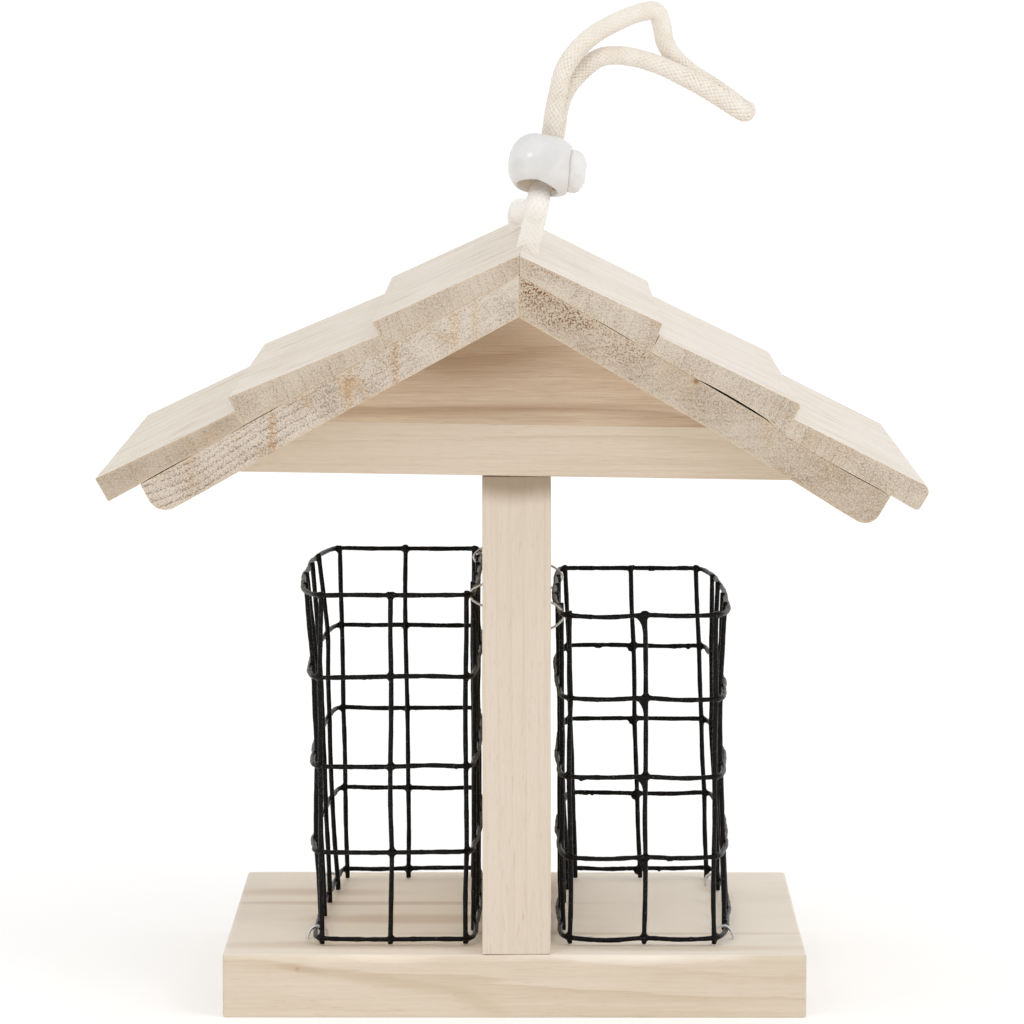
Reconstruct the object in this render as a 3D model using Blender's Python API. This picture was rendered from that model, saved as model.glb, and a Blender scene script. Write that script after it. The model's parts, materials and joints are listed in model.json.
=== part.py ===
"""Hanging bird feeder: a wooden base with a centre divider, two wire-mesh food
cages, a gabled shingle roof and a braided hanging cord with a cord lock.

Frame: origin at the centre of the base board's underside, +X to the right,
+Y towards the back, +Z up.  Lengths are in metres.
"""

import math

import bmesh
import bpy
from mathutils import Matrix, Vector

MM = 0.001
GAP = 0.3 * MM  # clearance between touching pieces
OVERCUT = 1.0 * MM  # how far a cutter runs past the face it opens
ENDS = (("front", -1), ("back", 1))  # name and sign of y
SIDES = (("left", -1), ("right", 1))  # name and sign of x

# Base board
BASE_W = 137.0 * MM
BASE_D = 116.0 * MM
BASE_T = 15.0 * MM
BASE_EASE = 0.8 * MM  # eased arris

# Centre divider, standing on the base
DIVIDER_X = 0.5 * MM
DIVIDER_W = 16.0 * MM
DIVIDER_TOP = 127.3 * MM
DIVIDER_EASE = 0.5 * BASE_EASE

# Screws from the underside of the base into the divider
SCREW_Y = 36.0 * MM
SCREW_SHANK_R = 1.75 * MM
SCREW_HEAD_R = 3.6 * MM
SCREW_HEAD_H = 2.6 * MM
SCREW_RIM_H = 0.4 * MM  # straight edge of the head
SCREW_SINK = 0.5 * MM
SCREW_L = 36.0 * MM
SCREW_POINT_L = 4.0 * MM
SCREW_SIDES = 16

# Roof frame: the roof and gables sit a little out of true on the divider
ROOF_ORIGIN = Vector((DIVIDER_X, 0.0, DIVIDER_TOP + 2 * GAP))
ROOF_ROLL = math.radians(0.9)
ROOF_PITCH = math.radians(29.5)
PITCH_COS, PITCH_SIN = math.cos(ROOF_PITCH), math.sin(ROOF_PITCH)
PITCH_TAN = math.tan(ROOF_PITCH)
ROOF_D = 169.0 * MM
APEX_H = 38.7 * MM  # underside of the roof deck above the gables' lower edge
DECK_T = 8.3 * MM
DECK_L = 99.0 * MM  # along the slope, on the top face
DECK_ARRIS = 0.5 * MM  # chamfer of the upper edge at the eave
DECK_ROUND = 4.0 * MM  # rounding of the lower edge at the eave
DECK_ROUND_STEPS = 4

# Shingle courses from the ridge down, each starting where the last one ends:
# name, end along the slope, thickness at the start and at the butt
SHINGLES = (
    ("ridge", 34.6 * MM, 4.0 * MM, 6.9 * MM),
    ("middle", 71.6 * MM, 3.1 * MM, 6.7 * MM),
    ("eave", 106.2 * MM, 3.7 * MM, 5.7 * MM),
)
BUTT_ARRIS = 0.7 * MM
EAVE_CHAMFER = 1.0 * MM  # lower edge of the eave shingle's butt

# Gables: two edge-glued strips each
GABLE_T = 8.0 * MM
GABLE_FACE_Y = 58.4 * MM
GABLE_HALF = 66.0 * MM
GABLE_SEAM_H = 12.0 * MM

# Wire cages
WIRE_R = 0.58 * MM
WIRE_SIDES = 6
WELD_OFFSET = 0.84 * MM  # from a ring's wire inwards to an upright
CAGE_HALF_D = 46.8 * MM
CAGE_Y = 0.3 * MM
CAGE_CORNER = 4.0 * MM
CAGE_ROWS = 4
CAGE_CELLS_WIDE = 2
CAGE_CELLS_DEEP = 5
CAGE_TAIL = 0.7 * MM  # uprights above the top ring
BULGE_POWER = 0.8
# Centre, half width, lowest ring, ring pitch, outward bulge of the outer side
# at the bottom and at the top, and the sign of x on the outer side
CAGES = {
    "left": dict(
        x=-28.4 * MM, half=17.9 * MM, low=16.25 * MM, pitch=20.45 * MM,
        bulge=(0.8 * MM, 5.0 * MM), outer=-1,
    ),
    "right": dict(
        x=30.4 * MM, half=17.9 * MM, low=16.45 * MM, pitch=19.15 * MM,
        bulge=(2.6 * MM, 2.6 * MM), outer=1,
    ),
}

# Staples
STAPLE_WIRE = 0.6 * MM
STAPLE_W = 6.4 * MM
STAPLE_LEGS = {"base": 5.5 * MM, "divider": 9.0 * MM}
STAPLE_Y = {"base": 37.0 * MM, "divider": 40.0 * MM}
STAPLE_SLACK = 0.4 * MM
STAPLE_HOLE = STAPLE_WIRE + 2 * GAP

# Cord lock: its frame has X along the push button and Z along the cord hole
LOCK_CENTRE = Vector((5.9 * MM, -46.0 * MM, 200.3 * MM))
LOCK_ROLL = math.radians(12.0)
LOCK_TILT = math.radians(25.0)
LOCK_R = 7.5 * MM
LOCK_LEFT = 7.1 * MM
LOCK_RIGHT = 8.8 * MM  # where the right half would close
LOCK_FACE = 6.4 * MM  # where it is cut flat
LOCK_POWER = 2.4
LOCK_LEFT_STEPS = 7
LOCK_RIGHT_STEPS = 5
LOCK_BODY_SIDES = 24
LOCK_SIDES = 20  # bores and button
LOCK_HOLE_R = 4.2 * MM
LOCK_HOLE_REACH = 10.0 * MM
LOCK_BORE_R = 4.5 * MM
LOCK_BORE_END = -4.9 * MM
LOCK_MOUTH_R = 5.15 * MM
LOCK_MOUTH_END = 3.6 * MM
SPRING_POCKET_R = 2.6 * MM
SPRING_POCKET_END = -6.4 * MM
SHANK_R = 4.3 * MM
SHANK_END = -2.9 * MM
BUTTON_R = 4.9 * MM
BUTTON_OUT = 11.0 * MM
BUTTON_IN = 5.7 * MM
BUTTON_TRAVEL = 1.8 * MM
BUTTON_CHAMFER = (0.5 * MM, 0.3 * MM)  # inner rim: along the axis, across it
# Outer end: distance back from BUTTON_OUT, distance in from BUTTON_R
BUTTON_CROWN = ((2.2 * MM, 0.0), (0.7 * MM, 1.2 * MM), (0.0, 2.8 * MM))
SLOT_LEFT = -1.75 * MM
SLOT_REST = 1.8 * MM
SLOT_CLEARANCE = 0.2 * MM
SLOT_RIGHT = SLOT_REST + BUTTON_TRAVEL + SLOT_CLEARANCE
SLOT_HALF_Y = 3.45 * MM
SLOT_REACH = 8.0 * MM
SPRING_R = 2.0 * MM
SPRING_WIRE_R = 0.2 * MM
SPRING_WIRE_SIDES = 5
SPRING_TURNS = 3
SPRING_STEPS = 14  # per turn

# Hanging cord
CORD_R = 2.5 * MM
CORD_SIDES = 10
CORD_HOLE_R = 2.9 * MM
CORD_HOLE_SIDES = 16
CORD_HOLE_Y = 44.3 * MM
CORD_HOLE_X = 0.6 * MM  # in the roof frame
CORD_HOLE_SPAN = (20.0 * MM, 70.0 * MM)  # heights of the cutter in the roof frame
KNOT_R = 5.3 * MM
KNOT_Z = 159.2 * MM
KNOT_HALF = 5.2 * MM
CORD_TAIL_Z = 148.5 * MM
CORD_STRAIGHT_Z = 172.0 * MM
CORD_LEAN_Z = 180.0 * MM
CORD_LEAN = 0.1 * MM
LEG_STEPS = 3
# Legs between the roof and the lock: x, y, z in millimetres
LEG_RISE = {
    "front": ((2.6, -46.2, 184.0), (3.7, -50.4, 188.4)),
    "back": (
        (1.2, 43.2, 184.0), (1.3, 39.0, 185.6), (1.7, 18.0, 186.3), (2.4, -8.0, 186.9),
        (3.2, -30.0, 187.1), (3.7, -39.0, 187.3), (4.0, -43.6, 188.3),
    ),
}
# Legs in the lock, along its cord hole
STRAND_OFFSET = 1.72 * MM
STRAND_STATIONS = (-8.2 * MM, -3.0 * MM, 4.0 * MM, 10.0 * MM)
STRAND_END_DROP = 3.1 * MM  # mean end of the two legs, below the loop's pivot
STRAND_END_STAGGER = 1.2 * MM  # back leg ends this much higher, front leg lower
# The cord thins where the lock can pinch it
SQUEEZED_R = 1.5 * MM
SQUEEZE_START = -16.0 * MM  # along the cord hole
SQUEEZE_L = 5.5 * MM
SQUEEZE_MIN_Z = KNOT_Z + 25.0 * MM  # thinned only above this height
SQUEEZE_MAX_Y = -30.0 * MM  # and in front of this plane

# Hanging loop, from its pivot over to the tip and back behind itself
LOOP_PIVOT = 18.5 * MM  # along the cord hole, above the lock's centre
LOOP_STRAND_Y = 2.85 * MM
LOOP_STEPS = 2
LOOP_LEAVE = (0.9 * MM, 3.6 * MM)  # second point, x and z from the pivot
LOOP_RETURN = (1.3 * MM, 3.2 * MM)  # last but one, x and z from the pivot
# x and z in millimetres, y from the pivot as a share of LOOP_STRAND_Y
LOOP_POINTS = (
    (13.4, 226.0, -1), (18.4, 231.0, -1), (25.0, 234.6, -1), (30.5, 236.2, -1),
    (34.0, 235.0, -1), (35.9, 230.3, -1), (39.4, 225.4, -1), (46.0, 220.4, -1),
    (51.8, 216.2, -0.95), (54.0, 214.2, -0.55), (54.0, 214.0, 0.55), (51.6, 215.2, 0.95),
    (44.1, 219.4, 1), (34.6, 223.9, 1), (26.0, 226.2, 1), (20.0, 225.4, 1),
    (14.6, 222.6, 1),
)
CAP_DEPTHS = (1.0, 0.9, 0.6)  # rounded ends, tip first, in cord radii
CAP_MIN_R = 0.25 * MM


# ---------------------------------------------------------------- scene
def clear_scene():
    for obj in list(bpy.data.objects):
        bpy.data.objects.remove(obj, do_unlink=True)


def material(name, color, roughness, metallic=0.0):
    mat = bpy.data.materials.new(name)
    mat.use_nodes = True
    shader = mat.node_tree.nodes["Principled BSDF"]
    shader.inputs["Base Color"].default_value = (*color, 1.0)
    shader.inputs["Roughness"].default_value = roughness
    shader.inputs["Metallic"].default_value = metallic
    mat.diffuse_color = (*color, 1.0)
    return mat


def finish(name, shape, mat, parent=None, smooth=None):
    """Mesh object with outward faces; edges above `smooth` degrees stay sharp."""
    bmesh.ops.recalc_face_normals(shape, faces=shape.faces)
    if sum(f.calc_area() * f.normal.dot(f.calc_center_median()) for f in shape.faces) < 0:
        bmesh.ops.reverse_faces(shape, faces=shape.faces)
    mesh = bpy.data.meshes.new(name)
    shape.to_mesh(mesh)
    shape.free()
    if mat is not None:
        mesh.materials.append(mat)
    if smooth is not None:
        mesh.shade_smooth()
        mesh.set_sharp_from_angle(angle=math.radians(smooth))
    obj = bpy.data.objects.new(name, mesh)
    bpy.context.scene.collection.objects.link(obj)
    obj.parent = parent
    return obj


def empty(name, matrix):
    obj = bpy.data.objects.new(name, None)
    obj.empty_display_size = 0.01
    obj.matrix_world = matrix
    bpy.context.scene.collection.objects.link(obj)
    return obj


def boolean(obj, name, shape, operation="DIFFERENCE"):
    """A Boolean whose second operand stays hidden in the file."""
    other = finish(name, shape, None, obj.parent)
    other.hide_render = True
    other.display_type = "WIRE"
    other.hide_set(True)
    mod = obj.modifiers.new(name, "BOOLEAN")
    mod.operation = operation
    mod.solver = "EXACT"
    mod.object = other


# ---------------------------------------------------------------- shapes
def add_box(shape, low, high, ease=0.0, matrix=Matrix.Identity(4)):
    low, high = Vector(low), Vector(high)
    verts = bmesh.ops.create_cube(shape, size=1.0)["verts"]
    scale = Matrix.Diagonal((*(high - low), 1.0))
    place = matrix @ Matrix.Translation((low + high) / 2) @ scale
    bmesh.ops.transform(shape, matrix=place, verts=verts)
    if ease:
        edges = list({edge for vert in verts for edge in vert.link_edges})
        bmesh.ops.bevel(
            shape, geom=edges, offset=ease, segments=1, affect="EDGES", profile=0.5
        )


def add_prism(shape, profile, y0, y1):
    """The closed profile of (x, z) points, extruded from y0 to y1."""
    near = [shape.verts.new((x, y0, z)) for x, z in profile]
    far = [shape.verts.new((x, y1, z)) for x, z in profile]
    shape.faces.new(near)
    shape.faces.new(list(reversed(far)))
    for i in range(len(profile)):
        j = (i + 1) % len(profile)
        shape.faces.new((near[j], near[i], far[i], far[j]))


def add_tube(shape, points, radii, sides, closed=False, start_normal=Vector((0, 1, 0))):
    """A tube through the points, with frames carried along it without twist."""
    count = len(points)
    if not hasattr(radii, "__len__"):
        radii = [radii] * count
    rings = []
    normal = start_normal
    for i, point in enumerate(points):
        if closed:
            tangent = points[(i + 1) % count] - points[i - 1]
        else:
            tangent = points[min(i + 1, count - 1)] - points[max(i - 1, 0)]
        tangent.normalize()
        normal = normal - tangent * normal.dot(tangent)
        if normal.length < 1e-6:  # the carried normal lies along the tube
            normal = tangent.orthogonal()
        normal.normalize()
        across = tangent.cross(normal)
        angles = (2 * math.pi * (k + 0.5) / sides for k in range(sides))
        rings.append([
            shape.verts.new(point + radii[i] * (math.cos(a) * normal + math.sin(a) * across))
            for a in angles
        ])
    for i in range(count if closed else count - 1):
        ring, following = rings[i], rings[(i + 1) % count]
        for k in range(sides):
            m = (k + 1) % sides
            shape.faces.new((ring[k], ring[m], following[m], following[k]))
    if not closed:
        shape.faces.new(list(reversed(rings[0])))
        shape.faces.new(rings[-1])


def add_lathe(shape, profile, sides, matrix=Matrix.Identity(4)):
    """Turns (x, radius) points about the X axis; the profile starts and ends on the axis."""
    rings = []
    for x, radius in profile[1:-1]:
        angles = (2 * math.pi * k / sides for k in range(sides))
        rings.append([
            shape.verts.new(matrix @ Vector((x, radius * math.cos(a), radius * math.sin(a))))
            for a in angles
        ])
    first = shape.verts.new(matrix @ Vector((profile[0][0], 0, 0)))
    last = shape.verts.new(matrix @ Vector((profile[-1][0], 0, 0)))
    for k in range(sides):
        m = (k + 1) % sides
        shape.faces.new((first, rings[0][m], rings[0][k]))
        shape.faces.new((last, rings[-1][k], rings[-1][m]))
        for ring, following in zip(rings, rings[1:]):
            shape.faces.new((ring[k], ring[m], following[m], following[k]))


def add_upright_rod(shape, x, y, z0, z1, radius, sides):
    add_lathe(shape, [(z0, 0), (z0, radius), (z1, radius), (z1, 0)], sides, upright(x, y))


def upright(x, y):
    """Places a lathe's X axis along +Z at (x, y)."""
    return Matrix.Translation((x, y, 0)) @ Matrix.Rotation(-math.pi / 2, 4, "Y")


def smooth_curve(points, steps):
    """Catmull-Rom curve through the points."""
    padded = [2 * points[0] - points[1], *points, 2 * points[-1] - points[-2]]
    curve = []
    for i in range(1, len(padded) - 2):
        p0, p1, p2, p3 = padded[i - 1 : i + 3]
        for k in range(steps):
            t = k / steps
            curve.append(0.5 * (
                2 * p1
                + (p2 - p0) * t
                + (2 * p0 - 5 * p1 + 4 * p2 - p3) * t * t
                + (3 * p1 - p0 - 3 * p2 + p3) * t * t * t
            ))
    curve.append(points[-1])
    return curve


# ---------------------------------------------------------------- cages
def bulge_share(y):
    """Share of the full bulge at a distance y from the cage's middle."""
    return math.cos(0.5 * math.pi * min(1.0, abs(y) / CAGE_HALF_D)) ** BULGE_POWER


def ring_plan(cage, height):
    """Plan of the ring at a height from 0 to 1, as (point, inward, is_node);
    nodes carry an upright wire."""
    half_x, half_y, outer = cage["half"], CAGE_HALF_D, cage["outer"]
    low, high = cage["bulge"]
    bulge = low + (high - low) * height

    def place(x, y):
        swell = max(0.0, outer * x / half_x) * bulge * bulge_share(y)
        return Vector((cage["x"] + x + outer * swell, CAGE_Y + y, 0.0))

    # Each corner, with the cell count and inward direction of the side after it
    corners = (
        ((-1, -1), CAGE_CELLS_WIDE, (0, 1)),
        ((1, -1), CAGE_CELLS_DEEP, (-1, 0)),
        ((1, 1), CAGE_CELLS_WIDE, (0, -1)),
        ((-1, 1), CAGE_CELLS_DEEP, (1, 0)),
    )
    plan = []
    for i, ((sign_x, sign_y), cells, inward) in enumerate(corners):
        for turn in (-45, 0, 45):
            angle = math.atan2(sign_y, sign_x) + math.radians(turn)
            cos, sin = math.cos(angle), math.sin(angle)
            x = sign_x * (half_x - CAGE_CORNER) + CAGE_CORNER * cos
            y = sign_y * (half_y - CAGE_CORNER) + CAGE_CORNER * sin
            plan.append((place(x, y), (-cos, -sin), turn == 0))
        next_x, next_y = corners[(i + 1) % 4][0]
        for k in range(1, cells):
            t = k / cells
            x = half_x * (sign_x + (next_x - sign_x) * t)
            y = half_y * (sign_y + (next_y - sign_y) * t)
            plan.append((place(x, y), inward, True))
    return plan


def make_cage(name, cage, mat):
    rings = bmesh.new()
    for row in range(CAGE_ROWS + 1):
        lift = Vector((0, 0, cage["low"] + row * cage["pitch"]))
        points = [point + lift for point, _, _ in ring_plan(cage, row / CAGE_ROWS)]
        add_tube(
            rings, points, WIRE_R, WIRE_SIDES, closed=True, start_normal=Vector((0, 0, 1))
        )
    uprights = bmesh.new()
    foot = Vector((0, 0, BASE_T + GAP))
    top = Vector((0, 0, cage["low"] + CAGE_ROWS * cage["pitch"] + CAGE_TAIL))
    for (low, inward, node), (high, _, _) in zip(ring_plan(cage, 0.0), ring_plan(cage, 1.0)):
        if node:
            shift = Vector((*inward, 0)) * WELD_OFFSET
            ends = [low + shift + foot, high + shift + top]
            add_tube(uprights, ends, WIRE_R, WIRE_SIDES, start_normal=Vector((1, 0, 0)))
    obj = finish("cage_" + name, rings, mat, smooth=50)
    boolean(obj, "uprights_" + name, uprights, "UNION")


# ---------------------------------------------------------------- staples
def staple_profile(leg):
    """U outline: crown along x at the top, legs down, crown wire centred on z = 0."""
    half, wire = STAPLE_W / 2, STAPLE_WIRE
    return [
        (-half, -leg), (-half, wire / 2), (half, wire / 2), (half, -leg),
        (half - wire, -leg), (half - wire, -wire / 2),
        (-half + wire, -wire / 2), (-half + wire, -leg),
    ]


def staple_places(board):
    """Name and matrix of every staple driven into the board."""
    places = []
    for name, cage in CAGES.items():
        outer = cage["outer"]
        wire_clearance = WIRE_R + GAP + STAPLE_WIRE / 2
        if board == "base":
            # Over the outer side of the lowest ring
            bulge = cage["bulge"][0] * bulge_share(STAPLE_Y[board])
            x = cage["x"] + outer * (cage["half"] + bulge)
            z = cage["low"] + wire_clearance
            turn = Matrix.Identity(4)
        else:
            # Over the inner side of the top ring, legs pointing into the divider
            x = cage["x"] - outer * cage["half"] + outer * (wire_clearance + STAPLE_SLACK)
            z = cage["low"] + CAGE_ROWS * cage["pitch"]
            turn = Matrix.Rotation(math.radians(90 * outer), 4, "Y")
        for end, sign in ENDS:
            matrix = Matrix.Translation((x, sign * STAPLE_Y[board], z)) @ turn
            places.append((f"{board}_staple_{name}_{end}", matrix))
    return places


def make_staples(board, mat):
    for name, matrix in staple_places(board):
        shape = bmesh.new()
        profile = staple_profile(STAPLE_LEGS[board])
        add_prism(shape, profile, -STAPLE_WIRE / 2, STAPLE_WIRE / 2)
        finish(name, shape, mat).matrix_world = matrix


def add_staple_holes(shape, board):
    leg_x = STAPLE_W / 2 - STAPLE_WIRE / 2
    half = STAPLE_HOLE / 2
    for _, matrix in staple_places(board):
        for x in (-leg_x, leg_x):
            low = (x - half, -half, -STAPLE_LEGS[board] - GAP)
            add_box(shape, low, (x + half, half, -STAPLE_WIRE / 2), matrix=matrix)


# ---------------------------------------------------------------- boards and screws
def make_base(mat):
    board = bmesh.new()
    low = (-BASE_W / 2, -BASE_D / 2, 0)
    add_box(board, low, (BASE_W / 2, BASE_D / 2, BASE_T), ease=BASE_EASE)
    obj = finish("base_board", board, mat)
    holes = bmesh.new()
    add_staple_holes(holes, "base")
    head, shank = SCREW_HEAD_R + GAP, SCREW_SHANK_R + GAP
    top = BASE_T + OVERCUT
    countersunk = [
        (-OVERCUT, 0), (-OVERCUT, head), (SCREW_SINK + SCREW_RIM_H + GAP, head),
        (SCREW_SINK + SCREW_HEAD_H + 2 * GAP, shank), (top, shank), (top, 0),
    ]
    for y in (-SCREW_Y, SCREW_Y):
        add_lathe(holes, countersunk, SCREW_SIDES, upright(DIVIDER_X, y))
    boolean(obj, "base_holes", holes)


def make_divider(mat):
    board = bmesh.new()
    low = (DIVIDER_X - DIVIDER_W / 2, -BASE_D / 2, BASE_T + GAP)
    high = (DIVIDER_X + DIVIDER_W / 2, BASE_D / 2, DIVIDER_TOP)
    add_box(board, low, high, ease=DIVIDER_EASE)
    obj = finish("divider_board", board, mat)
    holes = bmesh.new()
    add_staple_holes(holes, "divider")
    for y in (-SCREW_Y, SCREW_Y):
        add_upright_rod(
            holes, DIVIDER_X, y, BASE_T - OVERCUT, SCREW_SINK + SCREW_L + OVERCUT,
            SCREW_SHANK_R + GAP, SCREW_SIDES,
        )
    boolean(obj, "divider_holes", holes)


def make_screws(mat):
    head, tip = SCREW_SINK, SCREW_SINK + SCREW_L
    profile = [
        (head, 0), (head, SCREW_HEAD_R), (head + SCREW_RIM_H, SCREW_HEAD_R),
        (head + SCREW_HEAD_H, SCREW_SHANK_R), (tip - SCREW_POINT_L, SCREW_SHANK_R), (tip, 0),
    ]
    for end, sign in ENDS:
        screw = bmesh.new()
        add_lathe(screw, profile, SCREW_SIDES, upright(DIVIDER_X, sign * SCREW_Y))
        finish(f"divider_screw_{end}", screw, mat, smooth=40)


# ---------------------------------------------------------------- roof
def mitre(height):
    """Slope coordinate where a height above the deck's underside meets the
    ridge's middle plane, less half the gap."""
    return -height * PITCH_TAN + GAP / 2 / PITCH_COS


DECK_START = mitre(DECK_T)  # ridge end of the deck's top face


def roof_outline(points, side):
    """Roof profile of (down the slope, above the deck's underside) points, as (x, z)."""
    return [
        (
            side * (down * PITCH_COS + above * PITCH_SIN),
            APEX_H - down * PITCH_SIN + above * PITCH_COS,
        )
        for down, above in points
    ]


def make_roof_piece(name, points, side, frame, mat):
    shape = bmesh.new()
    add_prism(shape, roof_outline(points, side), -ROOF_D / 2, ROOF_D / 2)
    return finish(name, shape, mat, frame)


def cut_cord_holes(obj):
    holes = bmesh.new()
    for y in (-CORD_HOLE_Y, CORD_HOLE_Y):
        add_upright_rod(
            holes, CORD_HOLE_X, y, *CORD_HOLE_SPAN, CORD_HOLE_R, CORD_HOLE_SIDES
        )
    boolean(obj, "cord_holes_" + obj.name, holes)


def make_deck(side_name, side, frame, mat):
    end = DECK_START + DECK_L
    points = [
        (mitre(0), 0), (DECK_START, DECK_T),
        (end - DECK_ARRIS, DECK_T), (end, DECK_T - DECK_ARRIS),
    ]
    for k in range(DECK_ROUND_STEPS + 1):
        angle = 0.5 * math.pi * k / DECK_ROUND_STEPS
        points.append((
            end - DECK_ROUND + DECK_ROUND * math.cos(angle),
            DECK_ROUND - DECK_ROUND * math.sin(angle),
        ))
    cut_cord_holes(make_roof_piece("roof_deck_" + side_name, points, side, frame, mat))


def make_shingles(side_name, side, frame, mat):
    base = DECK_T + GAP
    previous_butt = DECK_START
    for name, end, start_t, butt_t in SHINGLES:
        if name == "ridge":
            low, high = mitre(base), mitre(DECK_T + start_t)
        else:
            low = high = previous_butt + GAP
        butt = DECK_START + end
        points = [
            (low, base), (high, DECK_T + start_t),
            (butt - BUTT_ARRIS, DECK_T + butt_t), (butt, DECK_T + butt_t - BUTT_ARRIS),
        ]
        if name == "eave":
            points += [(butt, base + EAVE_CHAMFER), (butt - EAVE_CHAMFER, base)]
        else:
            points.append((butt, base))
        obj = make_roof_piece(f"shingle_{side_name}_{name}", points, side, frame, mat)
        if name == "ridge":
            cut_cord_holes(obj)
        previous_butt = butt


def make_gable(end, sign, frame, lower_mat, upper_mat):
    y0, y1 = sorted((sign * GABLE_FACE_Y, sign * (GABLE_FACE_Y - GABLE_T)))
    apex = APEX_H - GAP / PITCH_COS
    side_z = apex - GABLE_HALF * PITCH_TAN
    low, high = GABLE_SEAM_H - GAP / 2, GABLE_SEAM_H + GAP / 2
    low_x, high_x = (apex - low) / PITCH_TAN, (apex - high) / PITCH_TAN
    lower = [
        (-GABLE_HALF, 0), (-GABLE_HALF, side_z), (-low_x, low),
        (low_x, low), (GABLE_HALF, side_z), (GABLE_HALF, 0),
    ]
    upper = [(-high_x, high), (0, apex), (high_x, high)]
    for name, profile, mat in (("lower", lower, lower_mat), ("upper", upper, upper_mat)):
        shape = bmesh.new()
        add_prism(shape, profile, y0, y1)
        finish(f"gable_{end}_{name}", shape, mat, frame)


# ---------------------------------------------------------------- lock
def lock_matrix():
    x = Vector((math.cos(LOCK_ROLL), 0, -math.sin(LOCK_ROLL)))
    untilted_z = Vector((math.sin(LOCK_ROLL), 0, math.cos(LOCK_ROLL)))
    z = math.cos(LOCK_TILT) * untilted_z + math.sin(LOCK_TILT) * Vector((0, 1, 0))
    y = z.cross(x)
    return Matrix.Translation(LOCK_CENTRE) @ Matrix((x, y, z)).transposed().to_4x4()


def lock_radius(x):
    span = LOCK_LEFT if x < 0 else LOCK_RIGHT
    return LOCK_R * max(0.0, 1 - (abs(x) / span) ** LOCK_POWER) ** (1 / LOCK_POWER)


def make_lock_body(frame, mat):
    left = [
        -LOCK_LEFT * math.cos(0.5 * math.pi * k / LOCK_LEFT_STEPS)
        for k in range(1, LOCK_LEFT_STEPS + 1)
    ]
    right = [LOCK_FACE * k / LOCK_RIGHT_STEPS for k in range(1, LOCK_RIGHT_STEPS + 1)]
    outline = [(x, lock_radius(x)) for x in left + right]
    body = bmesh.new()
    add_lathe(body, [(-LOCK_LEFT, 0), *outline, (LOCK_FACE, 0)], LOCK_BODY_SIDES)
    obj = finish("lock_body", body, mat, frame, smooth=40)
    bore = bmesh.new()
    add_lathe(bore, [
        (SPRING_POCKET_END, 0), (SPRING_POCKET_END, SPRING_POCKET_R),
        (LOCK_BORE_END, SPRING_POCKET_R), (LOCK_BORE_END, LOCK_BORE_R),
        (LOCK_MOUTH_END, LOCK_BORE_R), (LOCK_MOUTH_END, LOCK_MOUTH_R),
        (LOCK_FACE + OVERCUT, LOCK_MOUTH_R), (LOCK_FACE + OVERCUT, 0),
    ], LOCK_SIDES)
    boolean(obj, "lock_bore", bore)
    hole = bmesh.new()
    add_upright_rod(hole, 0, 0, -LOCK_HOLE_REACH, LOCK_HOLE_REACH, LOCK_HOLE_R, LOCK_SIDES)
    boolean(obj, "lock_hole", hole)


def make_lock_button(frame, mat):
    along, across = BUTTON_CHAMFER
    button = bmesh.new()
    add_lathe(button, [
        (SHANK_END, 0), (SHANK_END, SHANK_R), (BUTTON_IN, SHANK_R),
        (BUTTON_IN, BUTTON_R - across), (BUTTON_IN + along, BUTTON_R),
        *((BUTTON_OUT - back, BUTTON_R - inset) for back, inset in BUTTON_CROWN),
        (BUTTON_OUT, 0),
    ], LOCK_SIDES)
    obj = finish("lock_button", button, mat, frame, smooth=40)
    slot = bmesh.new()
    low = (SLOT_LEFT, -SLOT_HALF_Y, -SLOT_REACH)
    add_box(slot, low, (SLOT_RIGHT, SLOT_HALF_Y, SLOT_REACH))
    boolean(obj, "button_slot", slot)


def make_lock_spring(frame, mat):
    start = SPRING_POCKET_END + GAP + SPRING_WIRE_R
    end = SHANK_END - GAP - SPRING_WIRE_R
    count = SPRING_STEPS * SPRING_TURNS
    coil = []
    for k in range(count + 1):
        angle = 2 * math.pi * SPRING_TURNS * k / count
        x = start + (end - start) * k / count
        coil.append(Vector((x, SPRING_R * math.cos(angle), SPRING_R * math.sin(angle))))
    spring = bmesh.new()
    add_tube(
        spring, coil, SPRING_WIRE_R, SPRING_WIRE_SIDES, start_normal=Vector((1, 0, 0))
    )
    finish("lock_spring", spring, mat, frame, smooth=60)


# ---------------------------------------------------------------- cord
def leg_radius(point, to_lock):
    """Radius of a leg: stopper knot at the foot, squeezed at the lock."""
    if abs(point.z - KNOT_Z) < KNOT_HALF:
        lift = 1 - ((point.z - KNOT_Z) / KNOT_HALF) ** 2
        return CORD_R + (KNOT_R - CORD_R) * math.sqrt(max(0.0, lift))
    if point.z > SQUEEZE_MIN_Z and point.y < SQUEEZE_MAX_Y:
        along = (to_lock @ point).z
        near = min(1.0, max(0.0, (along - SQUEEZE_START) / SQUEEZE_L))
        near = near * near * (3 - 2 * near)
        return CORD_R + (SQUEEZED_R - CORD_R) * near
    return CORD_R


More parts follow.
